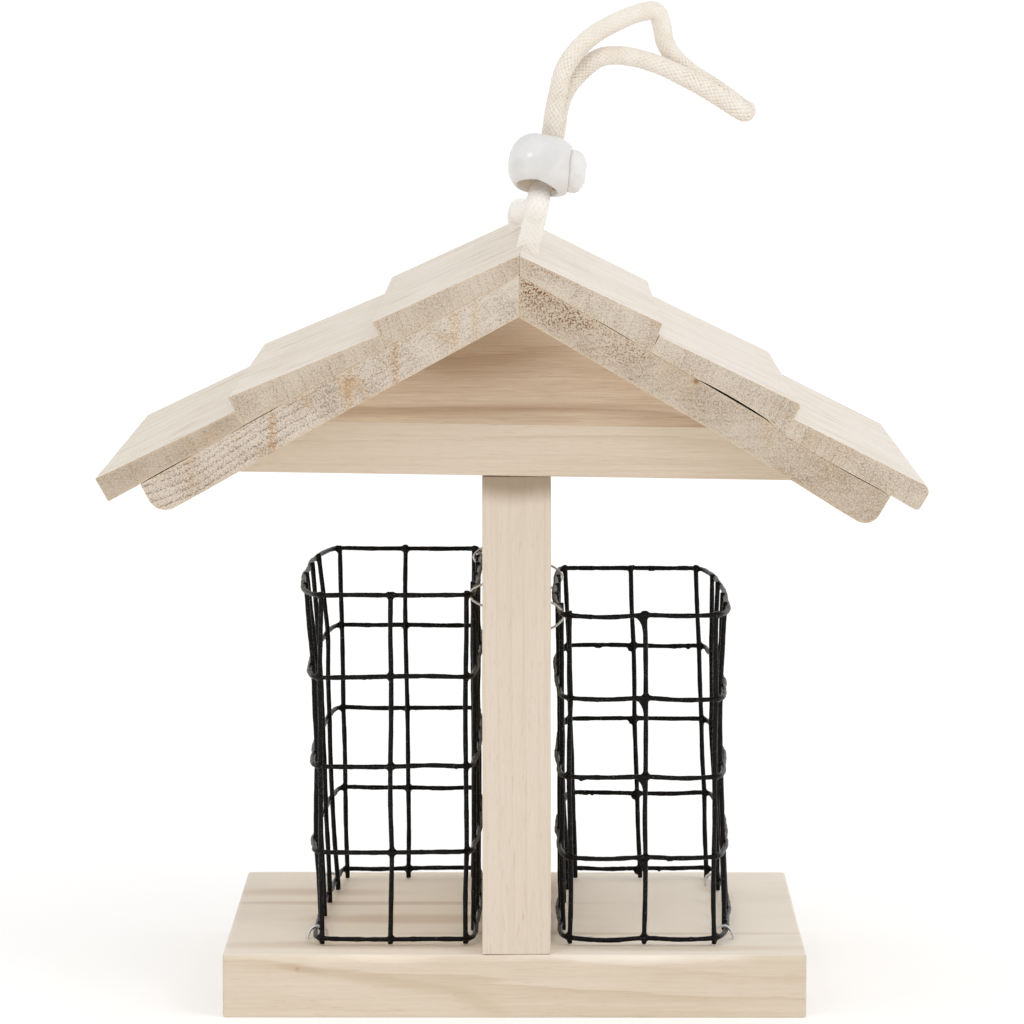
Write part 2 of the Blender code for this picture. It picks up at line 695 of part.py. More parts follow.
def make_cord_leg(name, sign, lock, mat):
    roll = Matrix.Rotation(ROOF_ROLL, 4, "Y")
    ridge_x = (ROOF_ORIGIN + roll @ Vector((CORD_HOLE_X, 0, APEX_H))).x
    y = sign * CORD_HOLE_Y
    heights = (CORD_TAIL_Z, KNOT_Z - KNOT_HALF, KNOT_Z, KNOT_Z + KNOT_HALF, CORD_STRAIGHT_Z)
    foot = [Vector((ridge_x, y, z)) for z in heights]
    foot.append(Vector((ridge_x + CORD_LEAN, y, CORD_LEAN_Z)))
    rise = [Vector([value * MM for value in point]) for point in LEG_RISE[name]]
    strand_end = LOOP_PIVOT - STRAND_END_DROP + sign * STRAND_END_STAGGER
    inside = [
        lock @ Vector((0, sign * STRAND_OFFSET, z)) for z in (*STRAND_STATIONS, strand_end)
    ]
    path = smooth_curve(foot + rise + inside, LEG_STEPS)
    to_lock = lock.inverted()
    leg = bmesh.new()
    add_tube(leg, path, [leg_radius(point, to_lock) for point in path], CORD_SIDES)
    finish("cord_leg_" + name, leg, mat, smooth=60)


def make_cord_loop(lock, mat):
    pivot = lock @ Vector((0, 0, LOOP_PIVOT))

    def from_pivot(x, z, share):
        return pivot + Vector((x, share * LOOP_STRAND_Y, z))

    middle = [
        Vector((x * MM, pivot.y + share * LOOP_STRAND_Y, z * MM))
        for x, z, share in LOOP_POINTS
    ]
    path = smooth_curve([
        from_pivot(0, 0, -1), from_pivot(*LOOP_LEAVE, -1), *middle,
        from_pivot(*LOOP_RETURN, 1), from_pivot(0, 0, 1),
    ], LOOP_STEPS)
    start_dir = (path[1] - path[0]).normalized()
    end_dir = (path[-2] - path[-1]).normalized()
    start_cap = [path[0] - start_dir * CORD_R * depth for depth in CAP_DEPTHS]
    end_cap = [path[-1] - end_dir * CORD_R * depth for depth in reversed(CAP_DEPTHS)]
    cap_radii = [max(CAP_MIN_R, CORD_R * math.sqrt(1 - depth * depth)) for depth in CAP_DEPTHS]
    points = [point - pivot for point in start_cap + path + end_cap]
    radii = cap_radii + [CORD_R] * len(path) + cap_radii[::-1]
    loop = bmesh.new()
    add_tube(loop, points, radii, CORD_SIDES)
    hinge = empty("loop_pivot", Matrix.Translation(pivot))
    finish("cord_loop", loop, mat, hinge, smooth=60)


# ---------------------------------------------------------------- assembly
def main():
    clear_scene()
    pine = material("pale_pine", color=(0.70, 0.58, 0.43), roughness=0.62)
    pine_dark = material("tan_pine", color=(0.52, 0.38, 0.25), roughness=0.62)
    pine_top = material("shingle_pine", color=(0.84, 0.78, 0.68), roughness=0.66)
    steel = material(
        "galvanised_steel", color=(0.62, 0.62, 0.60), roughness=0.30, metallic=1.0
    )
    coating = material("black_coating", color=(0.015, 0.013, 0.013), roughness=0.38)
    cotton = material("cream_cotton", color=(0.87, 0.82, 0.72), roughness=0.85)
    plastic = material("white_plastic", color=(0.80, 0.79, 0.77), roughness=0.22)

    make_base(pine)
    make_divider(pine)
    make_screws(steel)

    roll = Matrix.Rotation(ROOF_ROLL, 4, "Y")
    roof_frame = empty("roof_frame", Matrix.Translation(ROOF_ORIGIN) @ roll)
    for end, sign in ENDS:
        make_gable(end, sign, roof_frame, pine, pine_dark)
    for side_name, side in SIDES:
        make_deck(side_name, side, roof_frame, pine)
        make_shingles(side_name, side, roof_frame, pine_top)

    for name, cage in CAGES.items():
        make_cage(name, cage, coating)
    for board in STAPLE_LEGS:
        make_staples(board, steel)

    lock = lock_matrix()
    lock_frame = empty("lock_frame", lock)
    make_lock_body(lock_frame, plastic)
    make_lock_button(lock_frame, plastic)
    make_lock_spring(lock_frame, steel)
    for name, sign in ENDS:
        make_cord_leg(name, sign, lock, cotton)
    make_cord_loop(lock, cotton)


main()
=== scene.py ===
"""Looks of a hanging bird feeder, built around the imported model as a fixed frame.

The base board lies on the floor (z = 0) and the divider stands across its middle, in the YZ
plane, with a wire cage on its left (-X) and right (+X). The roof's ridge runs along Y, and the
front faces -Y. A braided cord leaves the ridge at both ends, passes a push-button lock and
ends in a loop. Meshes are in metres; tables of sizes are in millimetres unless noted.
"""

import json
import math
from types import SimpleNamespace

import bmesh
import bpy
import numpy as np
from mathutils import Matrix, Vector


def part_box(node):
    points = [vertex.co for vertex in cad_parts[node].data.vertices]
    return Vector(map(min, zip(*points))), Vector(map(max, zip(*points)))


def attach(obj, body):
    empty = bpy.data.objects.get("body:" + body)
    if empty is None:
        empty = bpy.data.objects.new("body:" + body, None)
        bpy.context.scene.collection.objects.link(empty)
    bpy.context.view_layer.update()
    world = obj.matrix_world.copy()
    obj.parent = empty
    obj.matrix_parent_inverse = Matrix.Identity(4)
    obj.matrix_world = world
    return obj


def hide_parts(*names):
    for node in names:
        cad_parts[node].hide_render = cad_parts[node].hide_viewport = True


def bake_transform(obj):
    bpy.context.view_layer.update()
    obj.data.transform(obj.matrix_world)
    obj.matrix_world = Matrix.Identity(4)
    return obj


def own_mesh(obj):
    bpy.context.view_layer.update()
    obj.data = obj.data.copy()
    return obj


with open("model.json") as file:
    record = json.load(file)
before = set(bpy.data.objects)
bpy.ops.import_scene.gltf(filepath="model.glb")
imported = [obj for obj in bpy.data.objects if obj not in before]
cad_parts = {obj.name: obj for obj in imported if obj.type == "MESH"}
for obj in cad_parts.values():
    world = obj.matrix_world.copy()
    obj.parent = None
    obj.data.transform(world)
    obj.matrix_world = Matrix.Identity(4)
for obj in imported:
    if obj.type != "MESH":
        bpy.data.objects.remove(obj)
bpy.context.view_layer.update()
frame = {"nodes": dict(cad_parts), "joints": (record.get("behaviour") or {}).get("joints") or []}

MM = 0.001
PER_METRE = 1 / MM


# ================================================================ shader helpers
def srgb(*display):
    """Linear colour from 0-255 display values."""
    out = []
    for value in display:
        value /= 255.0
        out.append(value / 12.92 if value <= 0.04045 else ((value + 0.055) / 1.055) ** 2.4)
    return (*out, 1.0)


class Signal:
    """A shader value; arithmetic on it adds Math nodes."""

    def __init__(self, shader, socket):
        self.shader = shader
        self.socket = socket

    def apply(self, operation, *others):
        return self.shader.math(operation, self, *others)

    def __add__(self, other):
        return self.apply("ADD", other)

    def __sub__(self, other):
        return self.apply("SUBTRACT", other)

    def __rsub__(self, other):
        return self.shader.math("SUBTRACT", other, self)

    def __mul__(self, other):
        return self.apply("MULTIPLY", other)

    def __truediv__(self, other):
        return self.apply("DIVIDE", other)

    def plus_clamped(self, other):
        """The sum, kept within 0..1."""
        return self.shader.math("ADD", self, other, clamp=True)

    def affine(self, factor, offset):
        return self.apply("MULTIPLY_ADD", factor, offset)

    def step(self, over, to=(0, 1)):
        """Smooth change from to[0] to to[1] as the value goes from over[0] to over[1]."""
        node = self.shader.new("ShaderNodeMapRange", interpolation_type="SMOOTHSTEP", clamp=True)
        self.shader.fill(node, {"Value": self, "From Min": over[0], "From Max": over[1],
                                "To Min": to[0], "To Max": to[1]})
        return Signal(self.shader, node.outputs["Result"])


class Shader:
    """A small front for a material's node tree; `place` is the object position in mm."""

    def __init__(self, name):
        self.material = bpy.data.materials.new(name)
        self.material.use_nodes = True
        self.tree = self.material.node_tree
        coordinates = self.new("ShaderNodeTexCoord").outputs
        self.place = self.vector(
            "SCALE", Signal(self, coordinates["Object"]), None, None, PER_METRE)
        self.normal = Signal(self, coordinates["Normal"])

    def new(self, kind, **props):
        node = self.tree.nodes.new(kind)
        for key, value in props.items():
            setattr(node, key, value)
        return node

    def put(self, value, socket):
        if isinstance(value, Signal):
            self.tree.links.new(value.socket, socket)
        elif value is not None:
            socket.default_value = value

    def fill(self, node, inputs):
        for key, value in inputs.items():
            self.put(value, node.inputs[key])

    def math(self, operation, *values, clamp=False):
        node = self.new("ShaderNodeMath", operation=operation, use_clamp=clamp)
        self.fill(node, dict(enumerate(values)))
        return Signal(self, node.outputs[0])

    def vector(self, operation, *values):
        node = self.new("ShaderNodeVectorMath", operation=operation)
        self.fill(node, dict(enumerate(values)))
        return Signal(self, node.outputs["Value" if operation == "LENGTH" else "Vector"])

    def split(self, vector):
        node = self.new("ShaderNodeSeparateXYZ")
        self.put(vector, node.inputs[0])
        return [Signal(self, socket) for socket in node.outputs]

    def join(self, x, y, z):
        node = self.new("ShaderNodeCombineXYZ")
        self.fill(node, {0: x, 1: y, 2: z})
        return Signal(self, node.outputs[0])

    def noise(self, vector, scale=1, detail=2, rough=0.5, output="Fac"):
        node = self.new("ShaderNodeTexNoise")
        self.fill(node, {"Vector": vector, "Scale": scale, "Detail": detail, "Roughness": rough})
        return Signal(self, node.outputs[output])

    def mix(self, amount, base, tint):
        """Blends two colours; a plain triple is a display colour, a quadruple is linear."""
        node = self.new("ShaderNodeMix", data_type="RGBA", clamp_factor=True)
        self.put(amount, node.inputs[0])
        # sockets 6 and 7, and output 2, are the node's colour ones
        for color, socket in ((base, node.inputs[6]), (tint, node.inputs[7])):
            if isinstance(color, tuple) and len(color) == 3:
                color = srgb(*color)
            self.put(color, socket)
        return Signal(self, node.outputs[2])

    def attribute(self, name):
        node = self.new("ShaderNodeAttribute", attribute_name=name, attribute_type="GEOMETRY")
        return Signal(self, node.outputs["Fac"])

    def bump(self, height, depth_mm, strength):
        node = self.new("ShaderNodeBump")
        self.fill(node, {"Strength": strength, "Distance": depth_mm * MM, "Height": height})
        return Signal(self, node.outputs[0])

    def finish(self, color, rough, normal=None, **extra):
        inputs = {"Base Color": color, "Roughness": rough, "Normal": normal, **extra}
        self.fill(self.tree.nodes["Principled BSDF"], inputs)
        return self.material


# ================================================================ mesh helpers
def wave(at, seed, octaves=3):
    """Smooth repeatable wobble of about unit size, as a sum of sines."""
    at = np.asarray(at, float)
    out = np.zeros_like(at)
    rng = np.random.RandomState(seed)
    size, freq = 1.0, 1.0
    for _ in range(octaves):
        out += size * np.sin(freq * at * (0.9 + 0.2 * rng.rand()) + 2 * math.pi * rng.rand())
        size *= 0.55
        freq *= 1.9
    return out / 1.6


def eased(share):
    """Smooth 0..1 from a share that may overshoot."""
    share = min(1.0, max(0.0, share))
    return share * share * (3 - 2 * share)


def link(obj):
    bpy.context.scene.collection.objects.link(obj)
    return obj


def mesh_object(name, points, faces, material=None, smooth=True):
    mesh = bpy.data.meshes.new(name)
    points = [tuple(map(float, point)) for point in points]
    mesh.from_pydata(points, [], [tuple(map(int, face)) for face in faces])
    mesh.validate()
    mesh.update()
    if material is not None:
        mesh.materials.append(material)
    if smooth:
        mesh.shade_smooth()
    return link(bpy.data.objects.new(name, mesh))


def bake_modifiers(obj):
    """Replaces the object's mesh with its evaluated mesh and drops the modifiers."""
    bpy.context.view_layer.update()
    graph = bpy.context.evaluated_depsgraph_get()
    mesh = bpy.data.meshes.new_from_object(
        obj.evaluated_get(graph), preserve_all_data_layers=True, depsgraph=graph)
    obj.modifiers.clear()
    obj.data = mesh


def place(obj, body, node):
    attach(obj, body)
    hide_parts(node)


def catmull(points, steps, closed=False):
    """Catmull-Rom curve through the points, with so many steps a span."""
    p = np.asarray(points, float)
    if closed:
        p = np.vstack([p[-1:], p, p[:2]])
    else:
        p = np.vstack([2 * p[0] - p[1], p, 2 * p[-1] - p[-2]])
    out = []
    u = (np.arange(steps) / steps)[:, None]
    for i in range(1, len(p) - 2):
        before, start, end, after = p[i - 1:i + 3]
        out.append(0.5 * (2 * start + (end - before) * u
                          + (2 * before - 5 * start + 4 * end - after) * u * u
                          + (3 * start - before - 3 * end + after) * u ** 3))
    out = np.vstack(out)
    return out if closed else np.vstack([out, p[-2:-1]])


def resample(path, step, closed=False):
    """The polyline at even spacing, and each point's distance along it."""
    path = np.asarray(path, float)
    if closed:
        path = np.vstack([path, path[:1]])
    spans = np.linalg.norm(np.diff(path, axis=0), axis=1)
    run = np.concatenate([[0], np.cumsum(spans)])
    count = max(2, int(round(run[-1] / step)) + 1)
    at = np.linspace(0, run[-1], count)
    out = np.stack([np.interp(at, run, path[:, k]) for k in range(3)], 1)
    return (out[:-1], at[:-1]) if closed else (out, at)


def path_frames(path, closed, start):
    """Tangent, normal and side along a path, carried without twist."""
    count = len(path)
    if closed:
        tangent = np.roll(path, -1, 0) - np.roll(path, 1, 0)
    else:
        tangent = np.gradient(path, axis=0)
    tangent /= np.linalg.norm(tangent, axis=1)[:, None]
    normal = np.zeros_like(path)
    current = np.array(start, float)
    for i in range(count):
        current = current - tangent[i] * current.dot(tangent[i])
        current /= np.linalg.norm(current)
        normal[i] = current
    if closed:
        # the twist left over at the seam is spread round the ring
        end = normal[-1] - tangent[0] * normal[-1].dot(tangent[0])
        end /= np.linalg.norm(end)
        twist = math.atan2(end.dot(np.cross(tangent[0], normal[0])), end.dot(normal[0]))
        for i in range(count):
            angle = -twist * i / count
            side = np.cross(tangent[i], normal[i])
            normal[i] = math.cos(angle) * normal[i] + math.sin(angle) * side
    return tangent, normal, np.cross(tangent, normal)


def skin(rings, sides, closed=False):
    """Quads between successive rings of vertices, with flat ends on an open run."""
    faces = []
    for i in range(rings if closed else rings - 1):
        j = (i + 1) % rings
        for k in range(sides):
            m = (k + 1) % sides
            faces.append((i * sides + k, i * sides + m, j * sides + m, j * sides + k))
    if not closed:
        faces.append(tuple(reversed(range(sides))))
        faces.append(tuple((rings - 1) * sides + k for k in range(sides)))
    return faces


def tube(points, radius, sides, closed=False, start=(0, 1, 0), dome=True):
    """Vertices and faces of a tube; `dome` rounds its open ends."""
    points = np.asarray(points, float)
    radius = np.full(len(points), radius, float) if np.isscalar(radius) else radius
    tangent, normal, side = path_frames(points, closed, start)
    if not closed and dome:
        rise = np.sin(np.radians([75, 45, 20]))
        shrink = np.cos(np.radians([75, 45, 20]))
        head = points[0] - tangent[0] * (radius[0] * rise[:, None])
        tail = points[-1] + tangent[-1] * (radius[-1] * rise[::-1, None])
        points = np.vstack([head, points, tail])
        radius = np.concatenate([radius[0] * shrink, radius, radius[-1] * shrink[::-1]])
        normal, side = (np.vstack([np.repeat(v[:1], 3, 0), v, np.repeat(v[-1:], 3, 0)])
                        for v in (normal, side))
    angle = 2 * math.pi * (np.arange(sides) + 0.5) / sides
    ring = points[:, None] + radius[:, None, None] * (
        np.cos(angle)[None, :, None] * normal[:, None]
        + np.sin(angle)[None, :, None] * side[:, None])
    return ring.reshape(-1, 3), skin(len(points), sides, closed)


def merge_parts(parts):
    verts, faces, base = [], [], 0
    for part_verts, part_faces in parts:
        verts.append(part_verts)
        faces.extend(tuple(i + base for i in face) for face in part_faces)
        base += len(part_verts)
    return np.vstack(verts), faces


def ball(centre, radius, rings=6, sides=10):
    centre = np.asarray(centre, float)
    points = []
    for i in range(1, rings):
        fall = math.pi * i / rings
        for k in range(sides):
            turn = 2 * math.pi * k / sides
            points.append(centre + radius * np.array((
                math.sin(fall) * math.cos(turn), math.sin(fall) * math.sin(turn),
                math.cos(fall))))
    top, bottom = len(points), len(points) + 1
    points += [centre + (0, 0, radius), centre - (0, 0, radius)]
    faces = []
    for i in range(rings - 2):
        for k in range(sides):
            m = (k + 1) % sides
            faces.append((i * sides + k, (i + 1) * sides + k, (i + 1) * sides + m, i * sides + m))
    for k in range(sides):
        m = (k + 1) % sides
        faces.append((top, k, m))
        faces.append((bottom, (rings - 2) * sides + m, (rings - 2) * sides + k))
    return np.array(points), faces


def lathe(profile, sides, axis="X"):
    """Verts and faces of (place along the axis, radius) turned about the axis."""
    profile = np.asarray(profile, float)
    angle = 2 * math.pi * np.arange(sides) / sides
    along = np.repeat(profile[:, 0], sides)
    radius = np.repeat(profile[:, 1], sides)
    cosine, sine = np.tile(np.cos(angle), len(profile)), np.tile(np.sin(angle), len(profile))
    columns = [radius * cosine, radius * sine]
    columns.insert(0 if axis == "X" else 2, along)
    return np.column_stack(columns), skin(len(profile), sides)


def remesh(obj, voxel, smooth):
    """Fuses the mesh's parts into one skin and softens it."""
    mod = obj.modifiers.new("voxel", "REMESH")
    mod.mode = "VOXEL"
    mod.voxel_size = voxel
    mod.use_smooth_shade = True
    soft = obj.modifiers.new("soft", "SMOOTH")
    soft.iterations = smooth
    soft.factor = 0.5
    materials = list(obj.data.materials)
    bake_modifiers(obj)
    obj.data.materials.clear()
    for material in materials:
        obj.data.materials.append(material)
    obj.data.shade_smooth()


def fix_normals(obj):
    bm = bmesh.new()
    bm.from_mesh(obj.data)
    bmesh.ops.recalc_face_normals(bm, faces=bm.faces)
    if bm.calc_volume(signed=True) < 0:
        bmesh.ops.reverse_faces(bm, faces=bm.faces)
    bm.to_mesh(obj.data)
    bm.free()
    return obj


def cut(obj, name, verts, faces):
    """Takes a solid, given in mm, out of the object."""
    cutter = fix_normals(mesh_object(name, verts * MM, faces))
    mod = obj.modifiers.new("cut", "BOOLEAN")
    mod.operation = "DIFFERENCE"
    mod.solver = "EXACT"
    mod.object = cutter
    bake_modifiers(obj)
    bpy.data.objects.remove(cutter, do_unlink=True)


def paint(obj, name, values):
    layer = obj.data.attributes.new(name, "FLOAT", "POINT")
    layer.data.foreach_set("value", np.asarray(values, np.float32))


# ================================================================ wood
class Wood(Shader):
    """Softwood as a solid texture: growth rings about a pith line parallel to the grain,
    fibres along it, and open pores where the grain meets the surface end-on.
    Noise frequencies are per mm."""

    def __init__(self, name, grain, seed):
        super().__init__(name)
        self.xyz = self.split(self.place)
        normals = self.split(self.normal)
        order = {"X": (1, 2, 0), "Y": (0, 2, 1), "Z": (0, 1, 2)}[grain]
        self.across, self.deep, self.along = (self.xyz[i] for i in order)
        self.facing_end = normals[order[2]]
        self.facing_up = normals[2]
        self.shift = seed * 17.31

    def drawn_out(self, across, along, detail=2, rough=0.5, shift=1):
        """Noise stretched along the grain."""
        point = self.join(self.across.affine(across, self.shift * shift), self.deep * across,
                          self.along * along)
        return self.noise(point, detail=detail, rough=rough)

    def grow(self, pith, spacing, bow, sharp):
        """The rings' late wood, and the fibres and clouds between them."""
        slow = self.noise(
            self.join(self.across.affine(0.03, self.shift), self.deep * 0.03,
                      self.along.affine(0.006, self.shift)), detail=1, output="Color")
        sway_across, sway_deep, _ = self.split(slow)
        sway_across = sway_across.affine(6.0 * bow, -3.0 * bow)
        sway_deep = sway_deep.affine(6.0 * bow, -3.0 * bow)
        fine = self.drawn_out(across=0.35, along=0.015)
        self.from_pith = (self.across - pith[0] + sway_across, self.deep - pith[1] + sway_deep)
        out_across, out_deep = self.from_pith
        self.radius = (out_across * out_across + out_deep * out_deep).apply("SQRT")
        phase = self.radius / spacing + fine * 0.5
        # uneven years: the rings crowd and spread with the radius
        phase = phase + self.noise(self.join(self.radius * 0.08, self.shift, 0)) * 4
        self.part = phase.apply("FRACT")
        late = self.part.apply("POWER", sharp) * self.part.step((0.95, 1), to=(1, 0))
        # some rings are stronger than others
        which = self.noise(self.join(phase.apply("FLOOR"), self.shift, 0.5), scale=0.77, detail=1)
        self.late = late * which.step((0.3, 0.62), to=(0.25, 1.25))
        self.fibre = self.drawn_out(across=1.5, along=0.03, detail=4, rough=0.65)
        self.thin = self.drawn_out(across=4.5, along=0.16, detail=3, rough=0.65)
        self.band = self.drawn_out(across=0.10, along=0.006, shift=2)
        self.cloud = self.drawn_out(across=0.06, along=0.022, detail=3, rough=0.55)

    def side_color(self, light, dark, ring, streak, blotch, ticks):
        amount = self.late * ring + (self.fibre - 0.5) * (streak * 1.5)
        amount = amount + (self.thin - 0.5) * (streak * 1.3)
        clouds = self.band * 0.6 + self.cloud * 0.4
        color = self.mix(amount.plus_clamped((clouds - 0.42) * (blotch * 2.4)), light, dark)
        # short pores lying along the grain
        tick = self.drawn_out(across=2.6, along=0.22, rough=0.6).step((0.60, 0.72))
        return self.mix(tick * ticks, color, (176, 148, 116))

    def end_color(self, light, dark, end_ring, grain_end, rays, specks, pores, rows_fade):
        """Open grain at the board's ends."""
        x, _, z = self.xyz
        ends = self.join(self.across.affine(1, self.shift), self.deep, self.along * 0.25)
        self.grit = self.noise(ends, scale=2.6, rough=0.8)
        cells = self.noise(ends, scale=1.7, rough=0.75)
        patch = self.noise(ends, scale=0.09, rough=0.55)
        out_across, out_deep = self.from_pith
        ray = self.noise(self.join(out_deep.apply("ARCTAN2", out_across) * 55,
                                   self.radius * 0.05, self.shift))
        rows = (self.late + self.part * 0.25) * self.grit.step((0.38, 0.60))
        if rows_fade:
            rows = rows * x.step(rows_fade, to=(1, 0.25))
        amount = rows * end_ring + (self.grit - 0.5) * grain_end
        amount = (amount + (patch - 0.47) * 1).plus_clamped(0.16)
        color = self.mix(amount, light, dark)
        rayed = ray.step((0.58, 0.72)) * (patch.step((0.48, 0.62)) * rays)
        color = self.mix(rayed, color, (196, 158, 112))
        self.speck = cells.step((0.57, 0.66)) * patch.step((0.40, 0.60), to=(0.15, 1))
        color = self.mix(self.speck * specks, color, (136, 104, 76))
        for pore_x, pore_z, half_x, half_z, strength in pores:
            offset = self.vector("SUBTRACT", self.join(x, 0, z), (pore_x, 0, pore_z))
            offset = self.vector("MULTIPLY", offset, (1 / half_x, 0, 1 / half_z))
            distance = self.vector("LENGTH", offset)
            near = (distance + (cells - 0.5) * 0.9).step((0.25, 1.15), to=(1, 0))
            dots = self.noise(ends, scale=2.5, detail=1, rough=0.6).step((0.535, 0.585))
            color = self.mix(near * (0.30 * strength), color, (204, 182, 154))
            color = self.mix(dots * near * strength, color, (112, 68, 34))
        return color

    def slope_lines(self, color, light, dark, strength):
        """Faint lines that run down the slope across the boards' tops."""
        across, shift = self.across, self.shift
        drift = self.noise(self.join(across * 0.016, self.along.affine(0.012, shift), 0), detail=1)
        run = drift.affine(16, self.along)
        level = self.noise(self.join(run.affine(0.17, shift), across * 0.013, 0), rough=0.55)
        # folding the level gives contour lines
        fold = ((level * 5).apply("FRACT") - 0.5).apply("ABSOLUTE")
        fade = self.noise(self.join(run.affine(0.12, shift), across * 0.05, 4), rough=0.6)
        line = fold.step((0, 0.14), to=(1, 0)) * fade.step((0.36, 0.62), to=(0.15, 1))
        hair = self.noise(self.join(run.affine(0.8, shift), across * 0.03, 2), rough=0.6)
        amount = line * 0.86 + (hair - 0.42) * 0.7
        amount = amount.plus_clamped((self.cloud - 0.45) * 0.5)
        return self.mix(self.facing_up.step((0.5, 0.75)) * strength, color,
                        self.mix(amount, light, dark))

    def add_knots(self, color, knots):
        for centre, size, depth in knots:
            distance = self.vector(
                "LENGTH", self.vector("SUBTRACT", self.join(*self.xyz), centre))
            distance = distance + (self.fibre - 0.5) * size
            core = distance.step((size * 0.35, size * 1.15), to=(depth, 0))
            color = self.mix(core, color, (104, 66, 38))
            halo = distance.step((size, size * 2.4), to=(0.35, 0))
            color = self.mix(halo, color, (196, 158, 116))
        return color

    def add_shades(self, color, end, shades):
        x, y, z = self.xyz
        for centre, half_size, slope, tint, depth in shades:
            off_x = x - centre[0]
            off_z = z - centre[2] - off_x * slope
            off_y = y - centre[1]
            offset = self.vector("MULTIPLY", self.join(off_x, off_y, off_z),
                                 tuple(1 / half for half in half_size))
            distance = self.vector("LENGTH", offset) + (self.cloud - 0.5) * 0.9
            # broken up by the grit on end grain
            dotted = (1 - end) + end * self.grit.step((0.40, 0.58))
            color = self.mix(distance.step((0.30, 1.15), to=(depth, 0)) * dotted, color, tint)
        return color


def wood(name, grain, pith, spacing, light, dark, seed, end_light=(216, 204, 186),
         end_dark=(168, 150, 126), ring=0.45, streak=0.35, blotch=0.25, bow=2.0, end_ring=0.6,
         specks=0.6, knots=(), shades=(), pores=(), ticks=0.35, sharp=4.0, painted_top_light=0.0,
         grain_end=2.4, rays=0.55, rows_fade=None, down=0.0):
    """A wood material. `spacing` is the rings' in mm and `pith` their centre across the grain.
    knots: (centre, size, strength). pores: (x, z, half width, half height, strength).
    shades: (centre, half sizes, rise in z per x, tint, strength)."""
    mat = Wood(name, grain, seed)
    mat.grow(pith, spacing, bow, sharp)
    side_color = mat.side_color(light, dark, ring, streak, blotch, ticks)
    end_color = mat.end_color(end_light, end_dark, end_ring, grain_end, rays, specks, pores,
                              rows_fade)
    if down:
        side_color = mat.slope_lines(side_color, light, dark, down)
    # a warmer rim round the ends
    warm = mat.attribute("rim").step((0.35, 1)) * mat.band.affine(0.7, 0.1)
    end_color = mat.mix(warm, end_color, (214, 186, 150))
    end = mat.facing_end.apply("ABSOLUTE").step((0.62, 0.9))
    color = mat.add_knots(mat.mix(end, side_color, end_color), knots)
    # painted light: upward faces are blended towards a pale colour, so tops read lighter than sides
    if painted_top_light:
        color = mat.mix(mat.facing_up.step((0.6, 0.9)) * painted_top_light, color, (253, 247, 238))
    color = mat.add_shades(color, end, shades)
    height = mat.fibre * 0.5 + mat.thin * 0.55 - mat.late * 0.35
    end_height = mat.grit * 1 - mat.speck * 0.8
    height = height * (1 - end) + end_height * end
    normal = mat.bump(height, depth_mm=0.20, strength=0.6)
    rough = mat.thin.affine(0.22, 0.54).plus_clamped(end * 0.14)
    return mat.finish(color, rough, normal, **{"Specular IOR Level": 0.28})


# ================================================================ other materials
def coated_wire():
    """Black dipped coating: satin skin, runs and a dusty bloom."""
    mat = Shader("cage_coating")
    lumps = mat.noise(mat.place, scale=0.8, detail=3, rough=0.6)
    grain = mat.noise(mat.place, scale=4.5, rough=0.6)
    x, y, z = mat.split(mat.place)
    runs = mat.noise(mat.join(x * 1.6, y * 1.6, z * 0.25))
    bloom = (lumps * 0.6 + grain * 0.4).step((0.55, 0.75))
    color = mat.mix(bloom, (5, 3, 3), (22, 17, 15))
    glint = mat.noise(mat.place, scale=2.6, rough=0.6).step((0.60, 0.70))
    # painted highlight: brownish-grey specks where the black coating would catch the light
    color = mat.mix(grain.step((0.68, 0.80), to=(0, 0.4)), color, (74, 66, 60))
    height = lumps * 0.9 + (grain + runs) * 0.35
    normal = mat.bump(height, depth_mm=0.16, strength=0.8)
    rough = grain.affine(0.28, 0.20)
    return mat.finish(color, rough, normal, **{"Specular IOR Level": glint.affine(0.75, 0.14)})


def bright_steel():
    """Bright steel, brushed and lightly spotted."""
    mat = Shader("bright_steel")
    x, y, z = mat.split(mat.place)
    brush = mat.noise(mat.join(x * 2, y * 9, z * 2), detail=3)
    spot = mat.noise(mat.place, scale=1.4)
    color = mat.mix(brush, (236, 237, 236), (198, 199, 198))
    color = mat.mix(spot.step((0.60, 0.75), to=(0, 0.4)), color, (128, 122, 114))
    rough = brush.affine(0.25, 0.20)
    return mat.finish(color, rough, mat.bump(brush, depth_mm=0.03, strength=0.5), Metallic=1)


